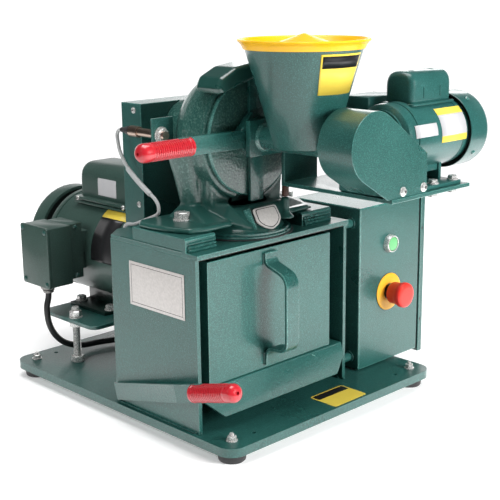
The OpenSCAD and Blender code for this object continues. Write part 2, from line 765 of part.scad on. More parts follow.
module hopper_guard() color("gold") {
    difference() {
        put(axis_x, hopper_y, hopper_high - 2)
            cylinder(h = rim_h, r1 = hopper_r + 1, r2 = rim_r, $fn = 96);
        put(axis_x, hopper_y, hopper_high)
            cylinder(h = rim_h, r1 = hopper_r - 2, r2 = rim_r - 4, $fn = 96);
        put(axis_x, hopper_y, hopper_high - 3)
            cylinder(h = rim_h, r = hopper_r - 4, $fn = 96);
        hopper();
    }
    put(axis_x, hopper_y, hopper_high + 1) {
        cylinder(h = 16, r1 = 46, r2 = 2);
        for (a = [30:120:270]) rotate([0, 0, a]) translate([20, -2, 0])
            cube([hopper_r - 22, 4, 5]);
    }
}

module feeder_shelf() color("seagreen") {
    put(shelf_x, shelf_front, shelf_z - shelf_t)
        cube([shelf_w, arm_y - shelf_front - shelf_t, shelf_t]);
    put(shelf_x, fplate_y, shelf_z - shelf_t) cube([70, shelf_t, shelf_drop + arm_h / 2 + shelf_t]);
    put(guard_left + 12, -guard_out + guard_t + fit, shelf_z - eps) cube([68, 3, 18]);
}

// Brown rubber rest under the shelf's back corner, just over the chamber's post
module shelf_rest() color("saddlebrown") put(rest_x, rest_y, rest_z + fit)
    cylinder(h = shelf_z - shelf_t - fit - rest_z, r = rest_r);

module guard_outline(inset = 0) {
    r = guard_r - inset;
    hull() {
        translate([axis_x, guard_z]) circle(r, $fn = 96);
        translate([guard_left + inset, shelf_z + (inset > 0 ? -2 : 0)])
            square([guard_right - guard_left - 2 * inset, 53]);
    }
}

module chain_guard() color("teal") difference() {
    put(0, -guard_out, 0) rotate([90, 0, 0]) mirror([0, 0, 1])
        linear_extrude(guard_d) guard_outline();
    put(0, -guard_out + guard_t, 0) rotate([90, 0, 0]) mirror([0, 0, 1])
        linear_extrude(guard_d) guard_outline(guard_t);
    // open to the right of the gear housing
    put(fmotor_x - 8, -guard_out + guard_t, shelf_z - 1) cube([80, guard_d, 160]);
}

module feeder_motor() color("darkgreen") {
    put(fmotor_x, fmotor_y, fmotor_z) along_x(fmotor_l, fmotor_r, $fn = 96);
    put(fmotor_x + fmotor_l, fmotor_y, fmotor_z) along_x(fring_l, fmotor_r + 5);
    // right-angle gear housing
    put(fmotor_x - 44, fmotor_y - 30, shelf_z) cube([44, 66, 60]);
    put(axis_x + 22, fmotor_y - 18, axis_z - 18) cube([fmotor_x - 44 - axis_x - 22, 36, 36]);
    // foot
    put(fmotor_x + 30, fmotor_y - 50, shelf_z) cube([88, 100, foot_t]);
    put(fmotor_x + 36, fmotor_y - 26, shelf_z + foot_t) cube([68, 52, 24]);
    // conduit box
    put(fmotor_x + 22, fmotor_y + 40, fmotor_z + 8) cube([70, 48, 44]);
}

module feeder_fan_cover() color("darkgreen")
    put(fcover_x, fmotor_y, fmotor_z) along_x(fcover_l, fcover_r, $fn = 96);

module feeder_capacitor() color("darkgreen") difference() {
    put(fmotor_x + 36, fmotor_y, fmotor_z + fmotor_r - 10) {
        translate([0, -fcap_r, 0]) cube([fcap_l, 2 * fcap_r, 30]);
        translate([0, 0, 22]) along_x(fcap_l, fcap_r);
    }
    put(fmotor_x + 35, fmotor_y, fmotor_z) along_x(fcap_l + 2, fmotor_r, $fn = 96);
}

module feeder_fasteners() color("silver") {
    for (x = [guard_left + 30, guard_right - 8]) put(x, -guard_out, shelf_z + 8)
        rotate([90, 0, 0]) {
            cylinder(h = 1.5, r = 6.5);
            cylinder(h = 4, r = 4);
        }
    for (x = [fmotor_x + 64, fmotor_x + 110]) {
        put(x, fbolt_y, shelf_z + foot_t) hex(13, 7);
        put(x, fbolt_y, shelf_z - shelf_t - 7.1) hex(13, 7);
    }
}

// ---------- clamp ----------
module clamp_bar() color("teal") difference() {
    union() {
        put(axis_x - bar_w / 2, strap_y, strap_low) cube([bar_w, bar_t, strap_high - strap_low]);
        put(axis_x, strap_y, axis_z) along_y(bar_t, boss_r + 8);
        put(clamp_low + grip_l - 20, lever_y + fit, axis_z - bar_w / 2)
            cube([clamp_reach - grip_l + 20, bar_t - fit + eps, bar_w]);
        put(axis_x, lever_y + fit, axis_z) along_y(bar_t - fit + eps, boss_r + 8);
        // gusset between the strap and the handle bar
        put(axis_x, strap_y + bar_t, axis_z) rotate([90, 0, 0]) linear_extrude(2 * bar_t - fit)
            polygon([[1 - bar_w / 2, 30], [-bar_w / 2, 30], [-36, bar_w / 2],
                [-36, bar_w / 2 - 1], [1 - bar_w / 2, bar_w / 2 - 1]]);
    }
    put(axis_x, lever_y - 1, axis_z) along_y(2 * bar_t + 4, boss_r + 0.1);
}

module clamp_grip() color("red") difference() {
    put(clamp_low + grip_l, lever_y + fit + bar_t / 2, axis_z) rotate([0, -90, 0]) grip_solid();
    put(clamp_low + grip_l - 20, lever_y + fit, axis_z - bar_w / 2)
        cube([clamp_reach, bar_t - fit + eps, bar_w]);
}

// ---------- container and lift ----------
module lever_frame() put(0, lift_pivot_y, lift_pivot_z) rotate([-lift_angle, 0, 0]) children();

lever_out = 2;
grip_out = -14;
module lift_lever() color("cadetblue") {
    lever_frame() {
        hull() {
            translate([lever_out - 0, -150, -bar_w / 2]) translate([grip_out - lever_out, 0, 0])
                cube([bar_t - 1, 0.1, bar_w]);
            translate([lever_out - 0.5, 10, -bar_w / 2]) cube([bar_t - 1, 0.1, bar_w]);
        }
        translate([grip_out, -206, -bar_w / 2]) cube([bar_t - 1, 56.2, bar_w]);
        translate([lever_out, 0, 0]) along_x(house_right + 4 - lever_out, lever_shaft_r);
    }
    // two lift arms under the shelf
    for (x = [house_x + 40, house_right - 60]) put(x, lift_pivot_y, lift_pivot_z) {
        along_x(14, 13);
        translate([0, -lift_arm, -4]) cube([14, lift_arm, 16]);
        translate([0, -lift_arm, lift_z - lift_t - lift_pivot_z - fit - 9]) along_x(14, 9);
        translate([0, -lift_arm - 8, 0]) cube([14, 16, lift_z - lift_t - lift_pivot_z - 9]);
    }
}

module lever_grip() color("red") difference() {
    lever_frame() translate([grip_out + bar_t / 2, -186, 0]) rotate([90, 0, 0]) grip_solid();
    lever_frame() translate([grip_out, -206, -bar_w / 2]) cube([bar_t - 1, 56.2, bar_w]);
}

module lift_shelf() color("seagreen") {
    put(house_x + wall_t + shelf_in, house_y + 2, lift_z - lift_t)
        cube([house_w - 2 * (wall_t + shelf_in), house_d - wall_t - 4, lift_t]);
    // slanted front lip with cut corners
    put(house_x + wall_t + shelf_in, house_y + 2, lift_z) rotate([-112, 0, 0])
        linear_extrude(lift_t) polygon([[0, 0], [house_w - 2 * (wall_t + shelf_in), 0],
            [house_w - 2 * (wall_t + shelf_in), 18], [house_w - 2 * (wall_t + shelf_in) - 26, 44],
            [28, 44], [0, 16]]);
}

module sample_container() color("mediumaquamarine") difference() {
    put(cont_x, cont_y, lift_z + fit) cube([cont_w, cont_d, cont_h - fit]);
    put(cont_x + cont_t, cont_y + cont_t, lift_z + fit + cont_t)
        cube([cont_w - 2 * cont_t, cont_d - 2 * cont_t, cont_h]);
}

// Pull handle: a strap that bends out from the container's face and back to it
module container_handle() color("mediumaquamarine")
    put(cont_x + cont_w / 2 - handle_left, cont_y, 0) rotate([90, 0, 90]) linear_extrude(bar_w)
        polygon([[0, cont_top - 5], [-handle_t, cont_top - 5], [-handle_t, cont_top - 19],
            [-handle_out, handle_high], [-handle_out, handle_low], [-handle_out + 7, handle_low - 6],
            [-handle_t, handle_low - 8], [-handle_t, lift_z + 5], [0, lift_z + 5],
            [0, handle_low - 3], [handle_t + 3 - handle_out, handle_low],
            [handle_t - handle_out, handle_low + 3], [handle_t - handle_out, handle_high - 4],
            [0, cont_top - 23]]);

base_plate();
rubber_feet();
foot_bolts();
left_wall();
right_wall();
back_wall();
gasket();
top_plate();
grinding_chamber();
hammer_rotor();
fasteners();
belt_guard();
motor_plate();
plate_stud();
main_motor();
motor_fan_cover();
motor_capacitor();
motor_conduit_box();
cable_gland();
motor_cable();
control_box();
box_cover();
box_spacers();
start_bezel();
stop_ring();
sensor_bracket();
interlock_sensor();
sensor_cable();
nameplates();
door();
feed_tube();
hopper();
hopper_guard();
feeder_shelf();
shelf_rest();
chain_guard();
feeder_motor();
feeder_fan_cover();
feeder_capacitor();
feeder_fasteners();
clamp_bar();
clamp_grip();
lift_lever();
lever_grip();
lift_shelf();
sample_container();
container_handle();
start_button();
stop_button();
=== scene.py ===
import json
import bpy
import bmesh
from math import cos, pi, radians, sin, tau
from mathutils import Matrix, Vector, noise


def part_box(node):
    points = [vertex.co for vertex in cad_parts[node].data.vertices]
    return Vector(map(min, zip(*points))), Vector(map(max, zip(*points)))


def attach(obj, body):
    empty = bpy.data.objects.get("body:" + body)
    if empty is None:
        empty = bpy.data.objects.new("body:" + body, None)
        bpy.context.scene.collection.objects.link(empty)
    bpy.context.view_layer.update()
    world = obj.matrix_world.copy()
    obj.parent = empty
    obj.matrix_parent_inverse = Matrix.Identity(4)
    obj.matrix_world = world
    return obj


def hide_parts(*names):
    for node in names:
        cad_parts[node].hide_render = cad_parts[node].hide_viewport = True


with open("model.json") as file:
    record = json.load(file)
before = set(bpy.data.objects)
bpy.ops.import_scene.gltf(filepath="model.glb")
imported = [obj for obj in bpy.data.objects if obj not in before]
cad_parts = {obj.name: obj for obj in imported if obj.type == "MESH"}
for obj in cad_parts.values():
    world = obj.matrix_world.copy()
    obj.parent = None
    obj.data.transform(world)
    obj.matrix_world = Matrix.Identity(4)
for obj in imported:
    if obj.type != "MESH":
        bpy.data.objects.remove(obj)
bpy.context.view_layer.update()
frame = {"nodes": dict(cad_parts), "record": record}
nodes = frame["nodes"]
print("frame loaded:", len(nodes), "nodes")

mm = 0.001
alongX, alongY, alongZ = Vector((1, 0, 0)), Vector((0, 1, 0)), Vector((0, 0, 1))
plateLow, plateHigh = (Vector(corner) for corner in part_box("base_plate"))
corner = Vector((plateLow.x, plateLow.y, plateHigh.z))  # front left corner of the plate's top face


def at(x, y, z):
    # a place in millimetres from the plate's corner
    return corner + Vector((x, y, z)) * mm


def atEach(points):
    return [at(*point) for point in points]


def addObject(name, data):
    # a new object, linked to the scene
    made = bpy.data.objects.new(name, data)
    bpy.context.scene.collection.objects.link(made)
    return made


def looseObject(name, bm):
    # a new object that holds the work so far
    mesh = bpy.data.meshes.new(name)
    bm.to_mesh(mesh)
    bm.free()
    return addObject(name, mesh)


# camera
view = {"lens": 76.921, "turn": -44.2194, "down": 14.0339, "roll": -0.6435, "place": (-882.4, -946.6, 596.7)}
camera = addObject("camera", bpy.data.cameras.new("camera"))
bpy.context.scene.camera = camera
camera.data.lens = view["lens"]
camera.data.sensor_width = 36
camera.location = at(*view["place"])
camera.rotation_euler = (Matrix.Rotation(radians(view["turn"]), 3, "Z")
                         @ Matrix.Rotation(radians(90 - view["down"]), 3, "X")
                         @ Matrix.Rotation(radians(view["roll"]), 3, "Z")).to_euler()
bpy.context.scene.view_settings.view_transform = "Standard"


# shader node groups
def newGroup(name, inputs, outputs):
    group = bpy.data.node_groups.new(name, "ShaderNodeTree")
    for label, kind, value in inputs:
        socket = group.interface.new_socket(name=label, in_out="INPUT", socket_type="NodeSocket" + kind)
        if value is not None:
            socket.default_value = value
    for label, kind in outputs:
        group.interface.new_socket(name=label, in_out="OUTPUT", socket_type="NodeSocket" + kind)
    return group, group.nodes.new("NodeGroupInput"), group.nodes.new("NodeGroupOutput")


def addNode(tree, kind, settings=None, **values):
    node = tree.nodes.new("ShaderNode" + kind)
    for key, value in (settings or {}).items():
        setattr(node, key, value)
    for key, value in values.items():
        node.inputs[key.replace("_", " ")].default_value = value
    return node


def mathNode(tree, operation, a, b):
    node = addNode(tree, "Math", {"operation": operation})
    for socket, value in zip(node.inputs, (a, b)):
        if isinstance(value, (int, float)):
            socket.default_value = value
        else:
            tree.links.new(value, socket)
    return node.outputs[0]


def mixColour(tree, factor, a, b):
    node = addNode(tree, "Mix", {"data_type": "RGBA"})
    for socket, value in zip((node.inputs[0], node.inputs[6], node.inputs[7]), (factor, a, b)):
        if isinstance(value, (int, float, tuple)):
            socket.default_value = value
        else:
            tree.links.new(value, socket)
    return node.outputs[2]


def ramp(tree, value, *stops):
    node = addNode(tree, "ValToRGB")
    while len(node.color_ramp.elements) < len(stops):
        node.color_ramp.elements.new(0.5)
    for element, (place, level) in zip(node.color_ramp.elements, stops):
        element.position = place
        element.color = (level, level, level, 1)
    tree.links.new(value, node.inputs[0])
    return node.outputs[0]


def fleckGroup():
    # hammered enamel: small dimples, pale flecks and a slow drift of tone
    group, source, sink = newGroup("hammerFlecks",
                                   [("Vector", "Vector", None), ("Size", "Float", 600.0),
                                    ("Drift", "Float", 9.0)],
                                   [("Fleck", "Float"), ("Tone", "Float"), ("Height", "Float")])
    link = group.links.new
    grain = addNode(group, "TexNoise", Detail=2.0, Roughness=0.6)
    link(source.outputs["Vector"], grain.inputs["Vector"])
    link(source.outputs["Size"], grain.inputs["Scale"])
    cells = addNode(group, "TexVoronoi", {"feature": "SMOOTH_F1"}, Smoothness=0.7)
    link(source.outputs["Vector"], cells.inputs["Vector"])
    link(mathNode(group, "MULTIPLY", source.outputs["Size"], 0.8), cells.inputs["Scale"])
    drift = addNode(group, "TexNoise", Detail=3.0)
    link(source.outputs["Vector"], drift.inputs["Vector"])
    link(source.outputs["Drift"], drift.inputs["Scale"])
    link(ramp(group, grain.outputs[0], (0.50, 0.0), (0.72, 1.0)), sink.inputs["Fleck"])
    link(ramp(group, drift.outputs[0], (0.3, 0.0), (0.7, 1.0)), sink.inputs["Tone"])
    link(mathNode(group, "ADD", mathNode(group, "MULTIPLY", grain.outputs[0], 0.6),
                  cells.outputs["Distance"]),
         sink.inputs["Height"])
    return group


fleckNodes = fleckGroup()


# materials
def newMaterial(name):
    material = bpy.data.materials.new(name)
    material.use_nodes = True
    tree = material.node_tree
    shader = tree.nodes["Principled BSDF"]
    coords = addNode(tree, "TexCoord").outputs["Object"]
    return material, tree, shader, coords


def addBump(tree, shader, height, strength, distance):
    bump = addNode(tree, "Bump", Strength=strength, Distance=distance)
    tree.links.new(height, bump.inputs["Height"])
    tree.links.new(bump.outputs[0], shader.inputs["Normal"])


def setRoughness(tree, shader, value, low, high):
    level = addNode(tree, "MapRange", To_Min=low, To_Max=high)
    tree.links.new(value, level.inputs["Value"])
    tree.links.new(level.outputs[0], shader.inputs["Roughness"])


def setColour(tree, shader, value, low, high):
    tree.links.new(mixColour(tree, value, (*low, 1), (*high, 1)), shader.inputs["Base Color"])


paint = {"dark": 0.72, "roughSpread": 0.14, "coatRough": 0.12, "bump": 0.0006}
moulding = {"roughSpread": 0.08, "pale": 0.02, "bump": 0.0005}
machining = {"dull": 0.6, "roughLow": 0.7, "roughHigh": 1.4, "strength": 0.08, "bump": 0.0003}


def enamel(name, base, fleck, rough=0.3, dimple=0.35, size=620.0, coat=0.5, grainFrom=None):
    # glossy enamel with a hammered grain, in one base colour and one colour for the flecks;
    # grainFrom gives the heights between which the grain starts, and those where it ends
    material, tree, shader, coords = newMaterial(name)
    link = tree.links.new
    grain = addNode(tree, "Group", {"node_tree": fleckNodes}, Size=size)
    link(coords, grain.inputs["Vector"])
    dark = tuple(paint["dark"] * part for part in base)
    tone = mixColour(tree, grain.outputs["Tone"], (*dark, 1), (*base, 1))
    flecks, height = grain.outputs["Fleck"], grain.outputs["Height"]
    if grainFrom:
        parts = addNode(tree, "SeparateXYZ")
        link(coords, parts.inputs[0])
        start, full, fading, end = grainFrom
        band = ramp(tree, parts.outputs["Z"], (start, 0.0), (full, 1.0), (fading, 1.0), (end, 0.0))
        flecks, height = mathNode(tree, "MULTIPLY", flecks, band), mathNode(tree, "MULTIPLY", height, band)
    link(mixColour(tree, flecks, tone, (*fleck, 1)), shader.inputs["Base Color"])
    setRoughness(tree, shader, grain.outputs["Tone"], rough, rough + paint["roughSpread"])
    shader.inputs["Coat Weight"].default_value = coat
    shader.inputs["Coat Roughness"].default_value = paint["coatRough"]
    addBump(tree, shader, height, dimple, paint["bump"])
    return material


def plastic(name, colour, rough, mottle=0.15, size=300.0, dimple=0.1, coat=0.0):
    material, tree, shader, coords = newMaterial(name)
    spots = addNode(tree, "TexNoise", Scale=size, Detail=3.0)
    tree.links.new(coords, spots.inputs["Vector"])
    pale = tuple(min(1.0, part * (1 + mottle) + mottle * moulding["pale"]) for part in colour)
    dark = tuple(part * (1 - mottle) for part in colour)
    setColour(tree, shader, spots.outputs[0], dark, pale)
    setRoughness(tree, shader, spots.outputs[0], rough - moulding["roughSpread"],
                 rough + moulding["roughSpread"])
    shader.inputs["Coat Weight"].default_value = coat
    addBump(tree, shader, spots.outputs[0], dimple, moulding["bump"])
    return material


def metal(name, colour, rough, size=700.0, stretch=(1, 1, 1), metallic=1.0):
    material, tree, shader, coords = newMaterial(name)
    scaled = addNode(tree, "Mapping", Scale=stretch)
    tree.links.new(coords, scaled.inputs["Vector"])
    lines = addNode(tree, "TexNoise", Scale=size, Detail=4.0)
    tree.links.new(scaled.outputs[0], lines.inputs["Vector"])
    dull = tuple(machining["dull"] * part for part in colour)
    setColour(tree, shader, lines.outputs[0], dull, colour)
    setRoughness(tree, shader, lines.outputs[0], rough * machining["roughLow"],
                 rough * machining["roughHigh"])
    shader.inputs["Metallic"].default_value = metallic
    addBump(tree, shader, lines.outputs[0], machining["strength"], machining["bump"])
    return material


green = (0.0135, 0.068, 0.059)
paleGreen = (0.038, 0.145, 0.129)
finishes = {
    "hammered_green": enamel("hammeredGreen", green, paleGreen, rough=0.25, dimple=0.45, size=760.0,
                             coat=0.3),
    "casting": enamel("hammeredCasting", (0.013, 0.062, 0.052), (0.07, 0.15, 0.125), rough=0.26, dimple=0.9,
                      size=380.0, coat=0.5, grainFrom=(0.322, 0.345, 0.482, 0.488)),
    "bar_green": enamel("barGreen", (0.014, 0.080, 0.069), (0.022, 0.115, 0.10), rough=0.24, dimple=0.5,
                        size=480.0, coat=0.2),
    "smooth_casting": enamel("smoothCasting", (0.012, 0.062, 0.054), (0.03, 0.12, 0.105), rough=0.22,
                             dimple=0.15, size=300.0, coat=0.7),
    # a paler green painted where edges, rims, fins, welds and screw heads catch the light: a painted
    # highlight
    "rim_green": enamel("rimGreen", (0.035, 0.135, 0.118), (0.12, 0.28, 0.25), rough=0.2, dimple=0.3,
                        size=700.0, coat=0.8),
    "motor_green": enamel("feederMotorGreen", (0.016, 0.080, 0.072), (0.03, 0.115, 0.105), rough=0.32,
                          dimple=0.10, coat=0.3),
    "motor_grey": enamel("mainMotorGreen", (0.028, 0.058, 0.048), (0.04, 0.08, 0.068), rough=0.36,
                         dimple=0.08, coat=0.15),
    "dark_green": enamel("shadedGreen", (0.010, 0.058, 0.049), (0.02, 0.10, 0.085), rough=0.3, dimple=0.2),
    "shaded_box": enamel("shadedBox", (0.004, 0.014, 0.011), (0.006, 0.03, 0.026), rough=0.3, dimple=0.1,
                         coat=0.6),
    "yellow_paint": plastic("yellowEnamel", (0.72, 0.39, 0.003), 0.4, mottle=0.05, coat=0.1),
    "red_vinyl": plastic("redVinyl", (0.38, 0.012, 0.020), 0.3, mottle=0.1, coat=0.5),
    "black_rubber": plastic("blackRubber", (0.012, 0.012, 0.013), 0.55, mottle=0.4, size=900.0, dimple=0.3),
    "black_paint": plastic("blackPaint", (0.010, 0.010, 0.011), 0.35, mottle=0.2, size=200.0, dimple=0.05),
    "zinc": metal("zincPlate", (0.80, 0.80, 0.78), 0.26, metallic=0.62),
    "steel": metal("machinedSteel", (0.36, 0.35, 0.34), 0.4, stretch=(1, 6, 1), metallic=0.8),
    "green_plastic": plastic("greenButton", (0.10, 0.33, 0.13), 0.35, mottle=0.08),
    "red_plastic": plastic("redButton", (0.58, 0.022, 0.014), 0.42, mottle=0.06),
    "yellow_plastic": plastic("yellowRing", (0.66, 0.33, 0.020), 0.45, mottle=0.08),
    "grey_plastic": plastic("greySheath", (0.33, 0.34, 0.34), 0.45, mottle=0.15, size=500.0),
    "brass": metal("wornNickel", (0.62, 0.48, 0.40), 0.3, stretch=(1, 4, 1)),
    "label": plastic("blankLabel", (0.40, 0.40, 0.41), 0.35, mottle=0.05, size=120.0, dimple=0.03),
    "yellow_label": plastic("yellowLabel", (0.70, 0.53, 0.07), 0.35, mottle=0.04, size=120.0, dimple=0.02),
    "orange_label": plastic("orangeLabel", (0.62, 0.20, 0.07), 0.4, mottle=0.1, size=120.0, dimple=0.02),
    "aged_plate": metal("agedPlate", (0.60, 0.57, 0.55), 0.42, size=300.0, metallic=0.1),
    "gasket_felt": plastic("gasketRubber", (0.022, 0.018, 0.016), 0.7, mottle=0.5, size=500.0, dimple=0.6),
    "brown_rubber": plastic("brownRubber", (0.045, 0.016, 0.009), 0.6, mottle=0.4, size=600.0, dimple=0.4),
}
slotOf = {part["node"]: part["material_slot"] for part in frame["record"]["subparts"]}
print("materials made:", len(finishes))


# floor and light
def makeStage():
    stage = {"floorRadius": 1.5, "floorTone": 0.95, "floorGlow": 0.15, "floorSheen": 0.7, "farFloorGlow": 0.6,
             "roomTone": 0.03, "backdropTone": 1.15, "backdropSheen": 0.3}
    bm = bmesh.new()
    bmesh.ops.create_circle(bm, cap_ends=True, segments=96, radius=stage["floorRadius"])
    floor = looseObject("paleFloor", bm)
    material, tree, shader, coords = newMaterial("paleFloor")
    spots = addNode(tree, "TexNoise", Scale=3.0)
    tree.links.new(coords, spots.inputs["Vector"])
    tone = stage["floorTone"]
    tree.links.new(mixColour(tree, spots.outputs[0], (tone, tone, tone, 1), (tone + 0.01,) * 3 + (1,)),
                   shader.inputs["Base Color"])
    shader.inputs["Roughness"].default_value = 0.7
    shader.inputs["Emission Color"].default_value = (1, 1, 1, 1)
    # the floor glows as painted light: a faint glow everywhere, more in reflections near the part and to its
    # right, and more to direct view far from the part
    reach = addNode(tree, "VectorMath", {"operation": "LENGTH"})
    tree.links.new(coords, reach.inputs[0])
    near = ramp(tree, mathNode(tree, "MULTIPLY", reach.outputs["Value"], 0.5), (0.42, 1.0), (0.80, 0.0))
    parts = addNode(tree, "SeparateXYZ")
    tree.links.new(coords, parts.inputs[0])
    right = ramp(tree, mathNode(tree, "ADD", parts.outputs["X"], 0.5), (0.0, 0.0), (0.8, 1.0))
    glossy = addNode(tree, "LightPath").outputs["Is Glossy Ray"]
    gloss = mathNode(tree, "MULTIPLY", glossy, mathNode(tree, "MULTIPLY", near, right))
    far = mathNode(tree, "MULTIPLY", mathNode(tree, "SUBTRACT", 1.0, near), stage["farFloorGlow"])
    far = mathNode(tree, "MULTIPLY", mathNode(tree, "SUBTRACT", 1.0, glossy), far)
    glow = mathNode(tree, "ADD", mathNode(tree, "MULTIPLY", gloss, stage["floorSheen"]), stage["floorGlow"])
    tree.links.new(mathNode(tree, "ADD", glow, far), shader.inputs["Emission Strength"])
    floor.data.materials.append(material)
    # the room is dim except for the white backdrop behind the part
    world = bpy.data.worlds.new("studio")
    bpy.context.scene.world = world
    world.use_nodes = True
    tree = world.node_tree
    link = tree.links.new
    way = addNode(tree, "NewGeometry").outputs["Incoming"]
    toward = addNode(tree, "VectorMath", {"operation": "DOT_PRODUCT"})
    link(way, toward.inputs[0])
    turn = radians(view["turn"])
    toward.inputs[1].default_value = (sin(turn), -cos(turn), 0)
    parts = addNode(tree, "SeparateXYZ")
    link(way, parts.inputs[0])
    behind = ramp(tree, toward.outputs["Value"], (0.55, 0.0), (0.75, 1.0))
    low = ramp(tree, mathNode(tree, "ADD", parts.outputs["Z"], 0.5), (0.10, 0.0), (0.24, 1.0))
    white, dim = stage["backdropTone"], stage["roomTone"]
    shine = mathNode(tree, "MULTIPLY", addNode(tree, "LightPath").outputs["Is Glossy Ray"],
                     stage["backdropSheen"])
    backdrop = tree.nodes["Background"]
    link(mathNode(tree, "ADD", shine, 1.0), backdrop.inputs["Strength"])
    link(mixColour(tree, mathNode(tree, "MULTIPLY", behind, low), (dim, dim, dim, 1),
                   (white, white, white, 1)),
         backdrop.inputs["Color"])


lamps = {"front": {"place": (760, -2100, 900), "aim": (200, 100, 180), "size": (1.3, 1.0), "power": 98,
                   "gloss": False},
         "glint": {"place": (760, -2100, 900), "aim": (200, 100, 180), "size": (0.5, 0.4), "power": 16,
                   "gloss": True},
         "left": {"place": (-2100, 500, 1300), "aim": (150, 250, 200), "size": (1.2, 1.2), "power": 42,
                  "gloss": False},
         "back": {"place": (2200, 1500, 1150), "aim": (350, 200, 250), "size": (1.3, 0.5), "power": 8,
                  "gloss": True},
         "top": {"place": (100, 200, 2300), "aim": (200, 250, 200), "size": (1.6, 1.6), "power": 50,
                 "gloss": True}}


def makeLamps():
    for name, lamp in lamps.items():
        light = bpy.data.lights.new(name, "AREA")
        light.shape = "RECTANGLE"
        light.size, light.size_y = lamp["size"]
        light.energy = lamp["power"]
        holder = addObject(name, light)
        holder.location = at(*lamp["place"])
        holder.visible_glossy = lamp["gloss"]
        holder.rotation_euler = (at(*lamp["aim"]) - holder.location).to_track_quat("-Z", "Y").to_euler()


makeStage()
makeLamps()
print("stage lit")


# modelling helpers
same = 1e-6  # points closer than this are one


def finishNew(bm, finish):
    # gives the faces made since the last call their material slot
    known = bm.faces.layers.int.get("finished") or bm.faces.layers.int.new("finished")
    for face in bm.faces:
        if not face[known]:
            face.material_index = finish
            face[known] = 1


def softLine(points, radius, steps=3, closed=False):
    # rounds the corners of a line of points with short arcs
    points = [Vector(point) for point in points]
    count = len(points)
    made = []
    for i, point in enumerate(points):
        if not closed and i in (0, count - 1):
            made.append(point)
            continue
        before, after = points[i - 1] - point, points[(i + 1) % count] - point
        cut = min(radius, before.length * 0.45, after.length * 0.45)
        start, end = point + before.normalized() * cut, point + after.normalized() * cut
        for step in range(steps + 1):
            t = step / steps
            made.append(start * (1 - t) ** 2 + point * 2 * t * (1 - t) + end * t * t)
    return made


def turned(bm, profile, centre, axis, steps=48, finish=0):
    # spins a profile of (distance along the axis, radius) in millimetres into a closed solid
    axis = Vector(axis).normalized()
    side = axis.orthogonal().normalized()
    verts = [bm.verts.new(centre + axis * (along * mm) + side * (radius * mm)) for along, radius in profile]
    edges = [bm.edges.new(pair) for pair in zip(verts, verts[1:])]
    bmesh.ops.spin(bm, geom=verts + edges, cent=centre, axis=axis, angle=tau, steps=steps, use_merge=True)
    bmesh.ops.remove_doubles(bm, verts=bm.verts, dist=same)
    finishNew(bm, finish)


def bevelled(bm, edges, width, segments=2):
    if width > 0:
        bmesh.ops.bevel(bm, geom=list(edges), affect="EDGES", offset=width * mm, segments=segments,
                        profile=0.5, material=-1, clamp_overlap=True)


def cube(bm, low, high):
    # a sharp box between two corners
    return bmesh.ops.create_cube(bm, size=1.0, matrix=Matrix.Translation((low + high) / 2)
                                 @ Matrix.Diagonal((*(high - low), 1)))["verts"]


def block(bm, low, high, soft=0.6, finish=0):
    # a box between two corners, with soft edges
    bevelled(bm, {edge for vert in cube(bm, low, high) for edge in vert.link_edges}, soft)
    finishNew(bm, finish)


def blocks(bm, *rows):
    # boxes from rows of (low corner, high corner, softness, finish)
    for low, high, soft, finish in rows:
        block(bm, at(*low), at(*high), soft, finish)


def cylinder(bm, centre, radius, tall):
    # a sharp upright cylinder round its centre
    return bmesh.ops.create_cone(bm, segments=48, radius1=radius * mm, radius2=radius * mm, depth=tall * mm,
                                 cap_ends=True, matrix=Matrix.Translation(centre))["verts"]


def hull(bm, points):
    # the convex shape around some points
    bmesh.ops.convex_hull(bm, input=[bm.verts.new(point) for point in points])


def slab(bm, outline, depth, soft=0.6, finish=0, segments=2):
    # pushes a flat outline out by a vector, with soft edges
    face = bm.faces.new([bm.verts.new(point) for point in outline])
    made = bmesh.ops.extrude_face_region(bm, geom=[face], use_keep_orig=True)
    top = [part for part in made["geom"] if isinstance(part, bmesh.types.BMVert)]
    bmesh.ops.translate(bm, verts=top, vec=Vector(depth))
    edges = {edge for vert in list(face.verts) + top for edge in vert.link_edges}
    bevelled(bm, [edge for edge in edges if len(edge.link_faces) == 2 and edge.calc_face_angle(0) > 0.5],
             soft, segments)
    finishNew(bm, finish)


def band(bm, path, across, thick, soft=0.6, finish=0):
    # a flat bar bent along a path in one plane; across is its width as a vector
    path = [Vector(point) for point in path]
    sides = []
    for i, point in enumerate(path):
        run = path[min(i + 1, len(path) - 1)] - path[max(i - 1, 0)]
        sides.append(run.cross(Vector(across)).normalized() * (thick * mm / 2))
    outline = [point + side for point, side in zip(path, sides)]
    outline += [point - side for point, side in reversed(list(zip(path, sides)))]
    slab(bm, outline, across, soft, finish)


def disc(bm, centre, axis, radius, tall, soft=0.4, finish=0, steps=32):
    # a round button, boss or washer standing on centre
    soft = min(soft, tall / 2, radius / 2)
    turned(bm, [(0, 0), (0, radius), (tall - soft, radius), (tall - soft * 0.3, radius - soft * 0.3),
                (tall, radius - soft), (tall, 0)], centre, axis, steps, finish)


def hexHead(bm, centre, axis, flats, tall, chamfer=0.8):
    # a six sided head or nut standing on centre
    axis = Vector(axis).normalized()
    turn = axis.to_track_quat("Z", "Y").to_matrix().to_4x4()
    across = flats / cos(pi / 6) * mm / 2
    made = bmesh.ops.create_cone(bm, segments=6, radius1=across, radius2=across, depth=tall * mm,
                                 cap_ends=True, matrix=Matrix.Translation(centre + axis * tall * mm / 2)
                                 @ turn)
    faces = {face for vert in made["verts"] for face in vert.link_faces if len(face.verts) == 6}
    bevelled(bm, {edge for face in faces for edge in face.edges}, chamfer, 1)
    finishNew(bm, 0)


